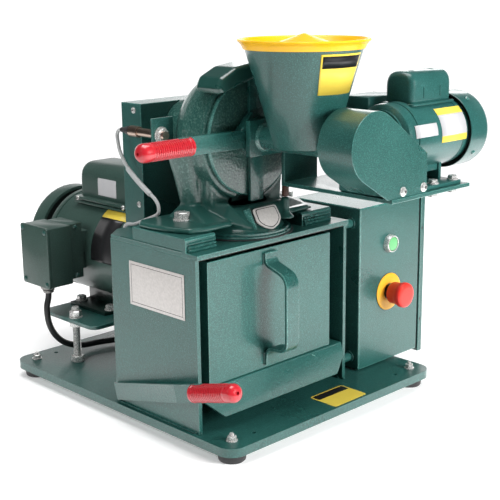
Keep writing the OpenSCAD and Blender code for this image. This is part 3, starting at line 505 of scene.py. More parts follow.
def panHead(bm, centre, axis, wide, tall, finish=0, dark=None):
    # a domed screw head with a cross in it
    radius = wide / 2
    dome = [(0, 0), (0, radius), (tall * 0.35, radius), (tall * 0.8, radius * 0.75), (tall, radius * 0.35),
            (tall, 0)]
    turned(bm, dome, centre, axis, steps=20, finish=finish)
    # the cross is a thin raised slab in the slot given by dark, black in most places: painted shade in the
    # recess
    if dark is not None:
        axis = Vector(axis).normalized()
        one = axis.orthogonal().normalized()
        two = axis.cross(one)
        for along, over in ((one, two), (two, one)):
            arm, bar = along * radius * 0.5 * mm, over * radius * 0.13 * mm
            base = centre + axis * tall * 0.9 * mm
            slab(bm, [base - arm - bar, base + arm - bar, base + arm + bar, base - arm + bar],
                 axis * tall * 0.16 * mm, 0, dark)


def sweep(bm, path, radius, sides=10, swell=None):
    # a round tube along a path; swell changes the radius from ring to ring
    path = [Vector(point) for point in path]
    rings = []
    side = None
    for i, point in enumerate(path):
        run = (path[min(i + 1, len(path) - 1)] - path[max(i - 1, 0)]).normalized()
        side = run.orthogonal() if side is None else side - run * side.dot(run)
        side = side.normalized()
        reach = radius * mm * (swell(i) if swell else 1)
        ring = bmesh.ops.create_circle(bm, segments=sides, radius=reach, matrix=Matrix.Translation(point)
                                       @ Matrix((side, run.cross(side), run)).transposed().to_4x4())["verts"]
        rings.append([bm.edges.get((ring[k], ring[(k + 1) % sides])) for k in range(sides)])
    for low, high in zip(rings, rings[1:]):
        bmesh.ops.bridge_loops(bm, edges=low + high)
    for ring in (rings[0], rings[-1]):
        bmesh.ops.contextual_create(bm, geom=ring)
    finishNew(bm, 0)


def sampled(path, step):
    # points at an even distance along a line
    path = [Vector(point) for point in path]
    made = [path[0]]
    for start, end in zip(path, path[1:]):
        count = max(1, round((end - start).length / (step * mm)))
        made += [start.lerp(end, (i + 1) / count) for i in range(count)]
    return made


def weldBead(bm, path, radius, pitch=2.6):
    # a run of overlapping ripples, as a hand weld leaves
    run = sampled(path, pitch * 0.5)
    last = len(run) - 1

    def ripple(i):
        return 0.3 if i in (0, last) else (1.0 if i % 2 else 0.82) + 0.12 * noise.noise(run[i] * 300)

    sweep(bm, run, radius, sides=7, swell=ripple)


def curved(points, steps=4):
    # a smooth line through points
    points = [Vector(point) for point in points]
    made = []
    for i in range(len(points) - 1):
        a, b = points[max(i - 1, 0)], points[i]
        c, d = points[i + 1], points[min(i + 2, len(points) - 1)]
        for step in range(steps):
            t = step / steps
            made.append(0.5 * (2 * b + (c - a) * t + (2 * a - 5 * b + 4 * c - d) * t ** 2
                               + (3 * b - a - 3 * c + d) * t ** 3))
    return made + [points[-1]]


def asMesh(name, bm):
    # a loose object with all faces turned outward
    bmesh.ops.recalc_face_normals(bm, faces=bm.faces)
    return looseObject(name, bm)


def addSkin(label, thick):
    # gives a bent sheet its thickness
    skin = label.modifiers.new("skin", "SOLIDIFY")
    skin.thickness = thick * mm
    skin.offset = 1


bodyOf = {node: body for body, members in frame["record"]["behaviour"]["bodies"].items() for node in members}
done = set()


def place(piece, slots, *stands, body=None, sharp=40, bevel=0, segments=2):
    # finishes a piece: materials, shading, the body it rides on and the nodes that it stands for
    mesh = piece.data
    edged = bevel and slots == ["hammered_green"]  # the bevels of sheet metal edges get a paler green, a painted highlight
    for slot in slots + ["rim_green"] * edged:
        mesh.materials.append(finishes[slot])
    mesh.shade_smooth()
    mesh.set_sharp_from_angle(angle=radians(sharp))
    if bevel:
        soft = piece.modifiers.new("softEdges", "BEVEL")
        soft.width = bevel * mm
        soft.segments = segments
        soft.limit_method = "ANGLE"
        soft.angle_limit = radians(38)
        soft.harden_normals = True
        soft.material = 1 if edged else -1
    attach(piece, body or bodyOf[stands[0]])
    if stands:
        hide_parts(*stands)
        done.update(stands)
    return piece


def turnedPiece(name, profile, centre, axis, slots, *stands, steps=48, **rest):
    # a piece that is one spun profile
    bm = bmesh.new()
    turned(bm, profile, centre, axis, steps)
    place(asMesh(name, bm), slots, *stands, **rest)


def softened(node, bevel=0.8, segments=2):
    # a CAD node's shape with soft edges
    bm = bmesh.new()
    bm.from_mesh(nodes[node].data)
    bmesh.ops.remove_doubles(bm, verts=bm.verts, dist=same)
    bmesh.ops.dissolve_limit(bm, angle_limit=radians(0.5), verts=bm.verts, edges=bm.edges)
    place(looseObject(node + "Soft", bm), [slotOf[node]], node, bevel=bevel, segments=segments)


# grinding chamber casting
chamber = {"axis": (162, 389), "front": 124, "radius": 91.5, "bore": 78, "boreDeep": 68, "flangeLow": 271,
           "flangeThick": 8, "legSpread": 66, "legY": 170, "legRadius": 17, "legLean": 11.5,
           "neck": (156, 142), "hinge": (266, 118), "post": (201, 93), "grain": 2.0}


def makeChamber():
    axisX, axisZ = chamber["axis"]
    front, low, high = chamber["front"], chamber["flangeLow"], chamber["flangeLow"] + chamber["flangeThick"]
    bm = bmesh.new()
    # drum with a deep bore
    radius, bore, boreDeep = chamber["radius"], chamber["bore"], chamber["boreDeep"]
    turned(bm, [(boreDeep, 0), (boreDeep, bore), (0, bore), (0, radius - 2), (2.5, radius), (28, radius),
                (42, 90), (56, 86), (67, 79.5), (74, 72), (78, 63), (79, 50), (79, 0)],
           at(axisX, front, axisZ), alongY, steps=96)
    disc(bm, at(axisX, front + 76, axisZ), alongY, 60, 15, 4)
    disc(bm, at(axisX, front + 78, axisZ), alongY, 42, 60, 1)
    # foot flange and pedestal
    foot = [(10, 166), (14, 140), (28, 104), (52, 96), (98, 98), (112, 116), (120, 124), (200, 124),
            (205, 100), (257, 98), (290, 150), (290, 202), (22, 202), (10, 190)]
    slab(bm, [at(x, y, low) for x, y in foot], alongZ * chamber["flangeThick"] * mm, 2.5)
    pedestal = [(-66, high - 2), (66, high - 2), (78, axisZ - 6), (-78, axisZ - 6)]
    slab(bm, [at(axisX + x, front + 7, z) for x, z in pedestal], alongY * 58 * mm, 1)
    radius, legY = chamber["legRadius"], chamber["legY"]
    spread = ((104, 100, 275), (66, 97, 275), (58, 103, 275), (104, 190, 275), (50, 130, 275), (62, 97, 272),
              (58, 103, 272), (104, 100, 272))
    for side in (-1, 1):
        x = axisX + side * chamber["legSpread"]
        lean = Vector((sin(radians(side * chamber["legLean"])), 0, cos(radians(chamber["legLean"]))))
        turned(bm, [(-6, 0), (-6, radius + 12), (0, radius + 10), (4, radius + 5), (10, radius + 1.5),
                    (20, radius), (60, radius + 2.5), (96, radius + 6), (104, radius), (106, 0)],
               at(x, legY, high), lean)
        # swoop from the leg's foot down to the flange's edge
        turns = [tau * i / 12 for i in range(12)]
        swoop = [(x + side * 2 + radius * cos(turn), legY + radius * sin(turn), high + 18) for turn in turns]
        hull(bm, atEach(swoop + [(axisX + side * px, py, pz) for px, py, pz in spread]))
    # apron, from the round neck up to a square top under the strap
    ring = cylinder(bm, at(*chamber["neck"], 259.5), 57, 3)
    top = [bm.verts.new(at(x, y, 294)) for x, y in ((108, 106), (205, 101), (205, 150), (108, 150))]
    bmesh.ops.convex_hull(bm, input=ring + top)
    finishNew(bm, 0)
    flare = [(-2, 0), (-2, 68), (1, 64), (4, 60), (9, 57), (9, 0)]
    turned(bm, flare, at(*chamber["neck"], 260), alongZ)
    block(bm, at(axisX - 30, front, 288), at(axisX + 30, front + 12, 304), 1)
    # left facet with its ridge, and the small fin that the strap's end turns behind
    ridge = ((105.5, 109, 301), (108, 106, 296), (120.6, 96.5, 281), (131, 85, 265), (97, 112, 274),
             (90, 130, 276), (94, 140, 300), (120, 130, 301), (131, 110, 262))
    hull(bm, atEach(ridge))
    hull(bm, atEach(((124.5, 98.5, 290), (135.5, 98.5, 292), (132, 82.5, 264.5), (124.5, 112, 290),
                     (135.5, 112, 292), (132, 112, 262))))
    # hood over the door, with the lip that holds the strap
    hood = []
    for y, inset in ((91, 4.5), (93, 1.5), (97, 0), (136, 0), (146, 8)):
        # each corner's place from the drum's axis, and how far the inset lifts it
        section = ((-83 + inset, 65, 0.6), (-88 + inset, 73, 0), (-81 + inset * 0.6, 87, -1), (-54, 99, -1),
                   (-18, 104, -1), (14, 104, -1), (14, 92, 0.6), (-53, 76, 0.6))
        hood += [at(axisX + x, y, axisZ + z + rise * inset) for x, z, rise in section]
    hull(bm, hood)
    finishNew(bm, 0)
    block(bm, at(axisX - 18, 93, axisZ + 88), at(axisX, 105.5, axisZ + 96), 1)
    # hinge knuckles and their brackets
    for z in (axisZ - 46.5, axisZ + 26.5):
        disc(bm, at(*chamber["hinge"], z), alongZ, 10, 20, 1.5)
        block(bm, at(264, 118, z), at(276, 158, z + 20), 1.5)
        block(bm, at(222, 142, z), at(276, 158, z + 20), 1.5)
    # post for the shelf's rubber rest
    post = [(-2, 0), (-2, 14), (1, 12.5), (6, 7), (9, 6), (29, 6), (29, 0)]
    turned(bm, post, at(*chamber["post"], low), alongZ, steps=24)
    casting = asMesh("chamberWork", bm)
    melt = casting.modifiers.new("melt", "REMESH")
    melt.mode = "VOXEL"
    melt.voxel_size = chamber["grain"] * mm
    relax = casting.modifiers.new("relax", "SMOOTH")
    relax.factor = 0.5
    relax.iterations = 5
    # throat: a funnel from the drum's bottom out to the neck's bore
    tool = bmesh.new()
    mouth = cylinder(tool, at(*chamber["neck"], 252), 51, 10)
    gullet = cube(tool, at(axisX - 28, front + 10, 297), at(axisX + 28, front + 54, 327))
    bmesh.ops.convex_hull(tool, input=mouth + gullet)
    cutter = asMesh("throatTool", tool)
    bore = casting.modifiers.new("bore", "BOOLEAN")
    bore.operation = "DIFFERENCE"
    bore.object = cutter
    bpy.context.view_layer.update()
    baked = bpy.data.meshes.new_from_object(casting.evaluated_get(bpy.context.evaluated_depsgraph_get()))
    for tried in (casting, cutter):
        bpy.data.objects.remove(tried)
    place(addObject("chamberCasting", baked), ["casting"], "grinding_chamber", sharp=60)


def makeNeck():
    # two bright steps and the narrow barrel under the apron, with the rubber seal below
    rings = [(0, 52), (0, 74), (0.8, 75), (3.7, 75), (4.5, 74), (4.6, 71.5), (5.4, 71.5), (5.6, 72.5),
             (7.8, 72.5), (8.6, 71.5), (8.6, 58), (20, 57), (20, 52), (0, 52)]
    turnedPiece("neckRings", rings, at(*chamber["neck"], 252.2), alongZ, ["smooth_casting"], steps=96,
                body="frame", sharp=30)
    seal = [(-0.1, 0), (-0.1, 77), (0.4, 77.6), (1.6, 77.6), (2.0, 77), (2.0, 0)]
    turnedPiece("neckSeal", seal, at(*chamber["neck"], 252), alongZ, ["black_rubber"], steps=96, body="frame")


def makeBadge():
    # blank shield plate on the apron
    badge = {"corners": ((-23, 14.5), (23, 14.5), (24, -6), (14, -15), (0, -20), (-14, -15), (-24, -6)),
             "centre": (159.5, 89.0, 277.6), "thick": 2.6}
    slope = Vector((-0.03, 0.50, 0.87)).normalized()
    right = Vector((1, 0.03, 0)).normalized()
    middleOf = at(*badge["centre"])
    out = right.cross(slope).normalized()
    bm = bmesh.new()
    for scale, rise, finish in ((1.0, 0.0, 0), (0.88, 0.25, 1), (0.82, 0.4, 0)):
        face = [middleOf + right * x * scale * mm + slope * y * scale * mm + out * rise * mm
                for x, y in badge["corners"]]
        slab(bm, softLine(face, 4 * mm, 3, closed=True), out * badge["thick"] * mm, 0.2, finish, 1)
    place(asMesh("badgePlate", bm), ["aged_plate", "black_paint"], body="frame")


def makeFin():
    # sharp fin beside the badge, in a paler green that is a painted highlight
    bm = bmesh.new()
    hull(bm, atEach(((124.5, 97.5, 291), (134.5, 97.5, 292), (132, 80.5, 264.5), (123.5, 106, 288),
                     (135.0, 106, 291), (133, 100, 262), (126, 100, 264))))
    bevelled(bm, bm.edges[:], 0.5)
    place(asMesh("apronFin", bm), ["rim_green"], body="frame", sharp=30)


makeChamber()
makeFin()
makeNeck()
makeBadge()
print("chamber cast")


# door with its arm and the clamp over it
door = {"centre": (162, 117, 389), "radius": 84, "thick": 6.7, "armLow": 363.5, "armHigh": 414.5,
        "armLeft": 133}


def makeDoor():
    x, y, z = door["centre"]
    radius, thick = door["radius"], door["thick"]
    plate = [(0, 17), (0, radius - 2.2), (0.6, radius - 0.8), (1.8, radius), (thick, radius), (thick, 17),
             (0, 17)]
    turnedPiece("doorDisc", plate, at(x, y, z), alongY, ["casting"], "door", steps=96, sharp=50)
    # pale ring round the door's edge: a painted highlight
    rim = [(0.3, radius - 2.6), (-0.4, radius - 1.7), (0.2, radius - 0.7), (1.4, radius - 0.2),
           (2.2, radius + 0.3), (3.2, radius + 0.2), (3.2, radius - 1), (0.3, radius - 2.6)]
    turnedPiece("doorRim", rim, at(x, y, z), alongY, ["rim_green"], steps=96, body="door", sharp=30)
    bm = bmesh.new()
    disc(bm, at(x, 103.8, z), alongY, 21, 14, 0.4, steps=48)
    block(bm, at(door["armLeft"], 94, door["armLow"]), at(266, 104, door["armHigh"]), 1.6)
    block(bm, at(258, 96, door["armLow"] + 0.5), at(275.5, 118, door["armHigh"] - 0.5), 3)
    disc(bm, at(*chamber["hinge"], door["armLow"]), alongZ, 10, 51, 1.2)
    place(asMesh("doorArm", bm), ["bar_green"], body="door", sharp=35)
    # collar round the feed tube in the paler green of a painted highlight
    collar = [(0, 18), (0, 20.6), (-1.2, 20.4), (-2.6, 19.2), (-4.2, 18), (-4.6, 17.1), (0, 18)]
    turnedPiece("tubeCollar", collar, at(x, 93.8, z), alongY, ["rim_green"], steps=64, body="door", sharp=30)


clamp = {"strap": (149.3, 174.7), "low": 298, "high": 473, "y": 110.5, "thick": 6.2, "lever": 376.3}


def makeClamp():
    x0, x1 = clamp["strap"]
    y, thick = clamp["y"], clamp["thick"]
    bm = bmesh.new()
    block(bm, at(x0, y, clamp["low"]), at(x1, y + thick, clamp["high"]), 0.9)
    disc(bm, at(162, y, 389), alongY, 29, thick, 0.6, steps=48)
    block(bm, at(16, y - thick + 0.3, clamp["lever"]), at(162, y, clamp["lever"] + 25.4), 0.9)
    disc(bm, at(162, y - thick + 0.3, 389), alongY, 29, thick - 0.3, 0.6, steps=48)
    gusset = [(150.3, 424), (149.3, 424), (126, 401.7), (126, 400.7), (150.3, 400.7)]
    slab(bm, [at(px, y - thick + 0.4, pz) for px, pz in gusset], alongY * 2 * (thick - 0.4) * mm, 0.8)
    place(asMesh("clampBars", bm), ["bar_green"], "clamp_bar", sharp=35)


grip = {"radius": 12.5, "ribs": 17, "pitch": 3.6, "rib": 0.9}
lever = {"pivot": (238, 20), "lean": 15.5, "gripX": -10.9, "gripAt": 186}


def gripShape(bm, start, axis):
    # a ribbed sleeve with a rounded end and a small hole in it
    radius = grip["radius"]
    line = [(0, 0), (0, radius - 0.5), (1, radius + 0.3), (4, radius + 0.3), (5, radius - 0.6)]
    for i in range(grip["ribs"]):
        along = 6 + i * grip["pitch"]
        line += [(along, radius - grip["rib"]), (along + 0.9, radius), (along + 2.3, radius),
                 (along + 3.0, radius - grip["rib"])]
    line += [(70, radius - 0.8), (71.5, radius), (81, radius), (84.5, radius - 1.6), (87, radius - 4.5),
             (88, radius - 7.5), (88, 2.2), (85, 2.0), (85, 0)]
    turned(bm, line, start, axis, steps=40)


def makeGrips():
    bm = bmesh.new()
    gripShape(bm, at(36, 107.5, 389), -alongX)
    place(asMesh("clampSleeve", bm), ["red_vinyl"], "clamp_grip", sharp=25)
    pivotY, pivotZ = lever["pivot"]
    pivot = at(0, pivotY, pivotZ)
    lean = Matrix.Rotation(-radians(lever["lean"]), 4, "X")
    turn = Matrix.Translation(pivot) @ lean @ Matrix.Translation(-pivot)
    bm = bmesh.new()
    gripShape(bm, turn @ at(lever["gripX"], pivotY - lever["gripAt"], pivotZ), turn.to_3x3() @ -alongY)
    place(asMesh("leverSleeve", bm), ["red_vinyl"], "lever_grip", sharp=25)


makeDoor()
makeClamp()
makeGrips()
print("door, clamp and grips made")


# hopper, feed tube and safety rim
hopper = {"centre": (162, 21), "low": 383, "high": 515, "lowRadius": 40, "radius": 79, "wall": 2}


def makeHopper():
    x, y = hopper["centre"]
    low, high, lowRadius, radius, wall = (hopper[key]
                                          for key in ("low", "high", "lowRadius", "radius", "wall"))
    tall = high - low
    bm = bmesh.new()
    turned(bm, [(0, 0), (0, lowRadius - 1), (0.8, lowRadius), (tall, radius), (tall, radius - wall),
                (3, lowRadius - wall), (3, 0)], at(x, y, low), alongZ, steps=96)
    # flat sides that close the cone onto the tube, with a crease between them
    crease = [(-24, -32, 14), (24, -32, 14), (33, 10, 22), (30, 34, 12), (-30, 34, 12), (-33, 10, 22),
              (-13, -30, -6), (13, -30, -6), (13, 34, -6), (-13, 34, -6)]
    hull(bm, [at(x + px, y + py, low + pz) for px, py, pz in crease])
    finishNew(bm, 0)
    place(asMesh("hopperCone", bm), ["hammered_green"], "hopper", sharp=35)
    tube = [(57, 17), (221.5, 17), (221.5, 14), (-8, 14), (-8, 17), (57, 17)]
    turnedPiece("feedTube", tube, at(x, -46, 389), alongY, ["hammered_green"], "feed_tube", sharp=35)
    # yellow rim: a rolled edge over a tapered band, with a low cone held on three bars inside
    bm = bmesh.new()
    turned(bm, [(-2, 79.6), (-2, 80.4), (3, 82.5), (7.0, 85.8), (7.6, 87), (8.6, 87.8), (9.8, 87.8),
                (10.6, 87.2), (10.9, 86), (10.2, 84.6), (8.8, 83.6), (3, 80), (0.5, 77.4), (-2, 76.5),
                (-2, 79.6)],
           at(x, y, high), alongZ, steps=96)
    turned(bm, [(1, 0), (1, 46), (2.2, 46), (17, 3), (17.5, 0)], at(x, y, high), alongZ, steps=48)
    for step in range(3):
        way = Matrix.Rotation(radians(30 + 120 * step), 3, "Z") @ alongX
        side = alongZ.cross(way) * 2 * mm
        near, far = (at(x, y, high + 1) + way * reach * mm for reach in (20, 77))
        slab(bm, [near - side, far - side, far + side, near + side], alongZ * 5 * mm, 0.5)
    place(asMesh("safetyRim", bm), ["yellow_paint"], "hopper_guard", sharp=35)
    # blank yellow label bent round the cone
    bm = bmesh.new()
    # the sheet, then the dark panel on it: how far out, from which turn to which, and between which heights
    sheet, panel = (0.35, -121, -67, 74, 126), (0.43, -119, -69, 108, 123.5)
    for finish, (rise, turnLow, turnHigh, zLow, zHigh) in enumerate((sheet, panel)):
        reach = [(z, lowRadius + (radius - lowRadius) * z / tall + rise) for z in (zLow, zHigh)]
        start = radians(turnLow)
        ends = [bm.verts.new(at(x + r * cos(start), y + r * sin(start), low + z)) for z, r in reach]
        bmesh.ops.spin(bm, geom=ends + [bm.edges.new(ends)], cent=at(x, y, low), axis=alongZ,
                       angle=radians(turnHigh - turnLow), steps=24)
        finishNew(bm, finish)
    addSkin(place(asMesh("hopperLabel", bm), ["yellow_label", "black_paint"], body="door"), 0.25)


makeHopper()
print("hopper made")


# chain guard, feeder shelf and feeder motor
def makeGuard():
    softened("chain_guard", bevel=0.6)
    softened("feeder_shelf", bevel=0.8)
    bm = bmesh.new()
    for x in (218, 262):
        disc(bm, at(x, -103, 330), -alongY, 6.5, 1.5, 0.4)
        panHead(bm, at(x, -104.5, 330), -alongY, 10, 3.4, dark=1)
    for x in (304, 350):
        disc(bm, at(x, -88, 327), alongZ, 8.4, 1.8, 0.5)
        hexHead(bm, at(x, -88, 328.8), alongZ, 12.5, 4.2)
        hexHead(bm, at(x, -88, 316.5), -alongZ, 13, 7.1)
    place(asMesh("feederScrews", bm), ["zinc", "black_paint"], "feeder_fasteners", sharp=35)


feeder = {"x": 240, "length": 135, "axis": (-47, 391), "radius": 48}


def makeFeeder():
    x, length, radius = feeder["x"], feeder["length"], feeder["radius"]
    y, z = feeder["axis"]
    bm = bmesh.new()
    # rolled frame between two end bells
    turned(bm, [(0, 0), (0, 30), (1.5, 42), (5, 46.5), (10, radius - 0.4), (22, radius - 0.4),
                (22.4, radius - 1.2), (23.4, radius - 1.2), (23.8, radius), (length - 12, radius),
                (length - 11.6, radius - 1.0), (length - 10.6, radius - 1.0), (length - 10.2, radius - 0.2),
                (length - 2, radius - 0.4), (length + 9, radius - 2), (length + 9, 0)], at(x, y, z), alongX,
           steps=96)
    blocks(bm, ((196, -77, 322), (241, -11, 382), 3, 0), ((184, -65, 371), (200, -29, 407), 3, 0))
    disc(bm, at(238, y, z), alongX, 40, 4, 1)
    # foot with a bent channel
    blocks(bm, ((270, -97, 322), (358, 3, 327), 1, 0), ((276, -73, 327), (282, -21, 351), 1, 0),
           ((338, -73, 327), (344, -21, 351), 1, 0), ((276, -70, 340), (344, -24, 351), 1, 0),
           ((262, -7, 399), (332, 41, 443), 3, 0))
    place(asMesh("feederFrame", bm), ["motor_green"], "feeder_motor", sharp=35)
    # fan cover with its screws in a paler green as painted highlights and a field of vents as black discs,
    # painted shade in the holes, then the gap ahead of it as a black ring, a painted shadow
    bm = bmesh.new()
    start = x + length + 9.3
    turned(bm, [(-9.5, 52.6), (-9.9, 53.4), (-9.2, 54), (27, 54), (30, 53.2), (32.4, 51), (34, 47),
                (34.1, 44.5), (33.2, 44), (33.2, 0), (31, 0), (31, 44), (29, 50), (26, 52), (-9.5, 52.6)],
           at(start, y, z), alongX, steps=96)
    for turn in (35, 125, 215, 305):
        way = Vector((0, cos(radians(turn)), sin(radians(turn))))
        panHead(bm, at(start + 9, y, z) + way * 53.6 * mm, way, 7, 2.4, finish=1)
    for ring in (14, 22, 30, 38):
        for step in range(14):
            turn = tau * (step + 0.5 * (ring % 4 == 2)) / 14
            spot = at(start + 33.0, y + ring * cos(turn), z + ring * sin(turn))
            disc(bm, spot, alongX, 2.6, 0.5, 0.1, finish=2, steps=10)
    place(asMesh("feederFanCover", bm), ["motor_green", "rim_green", "black_paint"], "feeder_fan_cover",
          sharp=35)
    gap = [(0, 30), (0, 52.2), (1.2, 52.2), (1.2, 30), (0, 30)]
    turnedPiece("feederGapShadow", gap, at(start - 3, y, z), alongX, ["black_paint"], steps=64, body="door")


def coverShape(bm, low, high, wide, tall, radius, endRound, axis, foot):
    # a capacitor cover: a rounded tunnel with soft ends, and a flange round its foot
    along, across = (alongX, alongY) if axis == "X" else (alongY, alongX)
    half, rise = across * wide / 2 * mm, alongZ * tall * mm
    outline = softLine([low - half, low - half + rise, low + half + rise, low + half], radius * mm, 7)
    slab(bm, outline, along * (high - low).length, endRound, segments=4)
    reach, spare = across * (wide / 2 + foot) * mm, along * foot * 0.6 * mm
    corners = [low - spare - reach, high + spare - reach, high + spare + reach, low - spare + reach]
    slab(bm, softLine(corners, 4 * mm, 3, closed=True), alongZ * 3 * mm, 0.8)


def makeFeederCover():
    bm = bmesh.new()
    coverShape(bm, at(276, -47, 433.5), at(365, -47, 433.5), 48, 45.5, 22.5, 8, "X", 4)
    for x in (301, 338):
        block(bm, at(x - 0.7, -71.9, 443), at(x + 0.7, -70.4, 458), 0.5)
    disc(bm, at(364.6, -47, 459), alongX, 3.5, 1.6, 0.4, steps=16)
    place(asMesh("feederCapCover", bm), ["motor_green"], "feeder_capacitor", sharp=60)
    bm = bmesh.new()
    dimple = [(-2, 0), (-2, 4.4), (0.3, 4.4), (0.3, 3.2), (-0.9, 1.6), (-1.2, 0)]
    for x in (298, 342):
        turned(bm, dimple, at(x, -50, 478.9), alongZ, steps=20)
    panHead(bm, at(366, -47, 459), alongX, 6, 2.2, finish=1, dark=2)
    place(asMesh("feederCapDimples", bm), ["motor_green", "zinc", "black_paint"], body="door", sharp=35)


def wrapLabel(name, motorSide, start, end, turnLow, turnHigh, slot):
    # a thin blank label bent round a motor, between two places along it and two turns
    centre, axis, wide, radius, body = motorSide
    bm = bmesh.new()
    ends = [bm.verts.new(centre + axis * spot * mm + wide * (radius + 0.25) * mm) for spot in (start, end)]
    edge = bm.edges.new(ends)
    bmesh.ops.rotate(bm, verts=ends, cent=centre, matrix=Matrix.Rotation(radians(turnLow), 3, axis))
    bmesh.ops.spin(bm, geom=ends + [edge], cent=centre, axis=axis, angle=radians(turnHigh - turnLow),
                   steps=16)
    finishNew(bm, 0)
    addSkin(place(asMesh(name, bm), [slot], body=body), 0.2)


makeGuard()
makeFeeder()
makeFeederCover()
print("feeder made")


# main motor
motor = {"x": 182, "z": 172, "body": 327.5, "back": 555.5, "radius": 84, "fan": 569.5, "gland": (41, 470)}


def makeMotor():
    x, z, radius = motor["x"], motor["z"], motor["radius"]
    body, back, fan = motor["body"], motor["back"], motor["fan"]
    bm = bmesh.new()
    long = back - body
    turned(bm, [(-20, 0), (-20, 40), (-12, 40), (-12, 70), (-9, 74), (-1, 76), (0, 82), (4, 84.6), (14, 84.6),
                (14.5, 83.2), (15.5, 83.2), (16, radius), (long - 16, radius), (long - 15.5, 83.2),
                (long - 14.5, 83.2), (long - 14, 84.6), (long - 4, 84.6), (long, 82), (long, 68),
                (long + 13, 68), (long + 13, 0)],
           at(x, body, z), alongY, steps=96)
    blocks(bm, ((102, 404, 75), (262, 500, 81), 1.2, 1), ((136, 412, 81), (150, 492, 108), 1.2, 1),
           ((214, 412, 81), (228, 492, 108), 1.2, 1))
    place(asMesh("motorFrame", bm), ["motor_grey", "shaded_box"], "main_motor", sharp=35)
    # fan cover: a shell, then a black ring inside it and flat black vents round its side, painted shade
    # inside the cover and in the vents
    shell = [(0, 81), (0, 84.6), (0.6, 86), (3, 86), (27, 86), (31, 85), (34.4, 82), (36, 77), (36, 0),
             (34, 0), (34, 76), (31, 82), (25, 83.6), (3, 83.6), (0, 81)]
    turnedPiece("motorFanShell", shell, at(x, fan, z), alongY, ["motor_grey"], "motor_fan_cover", steps=96,
                sharp=35)
    bm = bmesh.new()
    turned(bm, [(0, 60), (0, 80), (1, 80), (1, 60), (0, 60)], at(x, fan + 4, z), alongY, steps=64)
    for step in range(40):
        turn = tau * step / 40
        way = Vector((cos(turn), 0, sin(turn)))
        disc(bm, at(x, fan + 31.2, z) + way * 83.9 * mm, way + alongY * 0.8, 2.3, 0.5, 0.1, steps=10)
    place(asMesh("motorVentShade", bm), ["black_paint"], body="frame")
    # capacitor cover
    bm = bmesh.new()
    coverShape(bm, at(x, 369.5, 240), at(x, 507.5, 240), 88, 73, 28, 10, "Y", 0)
    blocks(bm, ((128, 366, 246), (236, 511, 250), 1, 0), ((128, 366, 252), (236, 511, 257), 1, 0))
    for px, way in ((128, -1), (236, 1)):
        for py in (378, 499):
            panHead(bm, at(px, py, 254), (way, 0, 0), 8, 2.6, finish=1, dark=2)
    place(asMesh("motorCapCover", bm), ["motor_grey", "zinc", "black_paint"], "motor_capacitor", sharp=60)


def makeConduit():
    bm = bmesh.new()
    # body, lid with rounded corners, and the neck to the motor
    block(bm, at(23, 433, 132), at(65, 506, 228), 2)
    lid = softLine([at(19, 432, 131), at(19, 507, 131), at(19, 507, 229), at(19, 432, 229)], 5 * mm, 4,
                   closed=True)
    slab(bm, lid, alongX * 6 * mm, 1.4)
    blocks(bm, ((64, 440, 137), (91, 498, 228), 2, 0), ((90, 448, 149), (125, 490, 211), 1, 0))
    for y in (439, 500):
        for z in (138, 222):
            panHead(bm, at(19.2, y, z), -alongX, 8, 2.6, finish=1, dark=1)
    for y, way in ((440.2, -alongY), (492, alongX)):
        for z in (143, 222):
            panHead(bm, at(78, y, z), way, 7, 2.4, finish=1)
    place(asMesh("conduitBox", bm), ["motor_grey", "dark_green"], "motor_conduit_box", sharp=35)
    bm = bmesh.new()
    x, y = motor["gland"]
    disc(bm, at(x, y, 128), alongZ, 13, 3, 0.5)
    hexHead(bm, at(x, y, 122), alongZ, 21, 6)
    disc(bm, at(x, y, 116), alongZ, 8.5, 7, 2)
    turned(bm, [(0, 9.6), (0.7, 10), (1.4, 9.6), (1.4, 5), (0, 5), (0, 9.6)], at(x, y, 119.4), alongZ,
           steps=24)
    place(asMesh("cableGland", bm), ["steel"], "cable_gland", sharp=35)


makeMotor()
makeConduit()
print("main motor made")


# cables, held along their routes, and the sensor
sensor = {"axis": (57, 394), "front": 182}


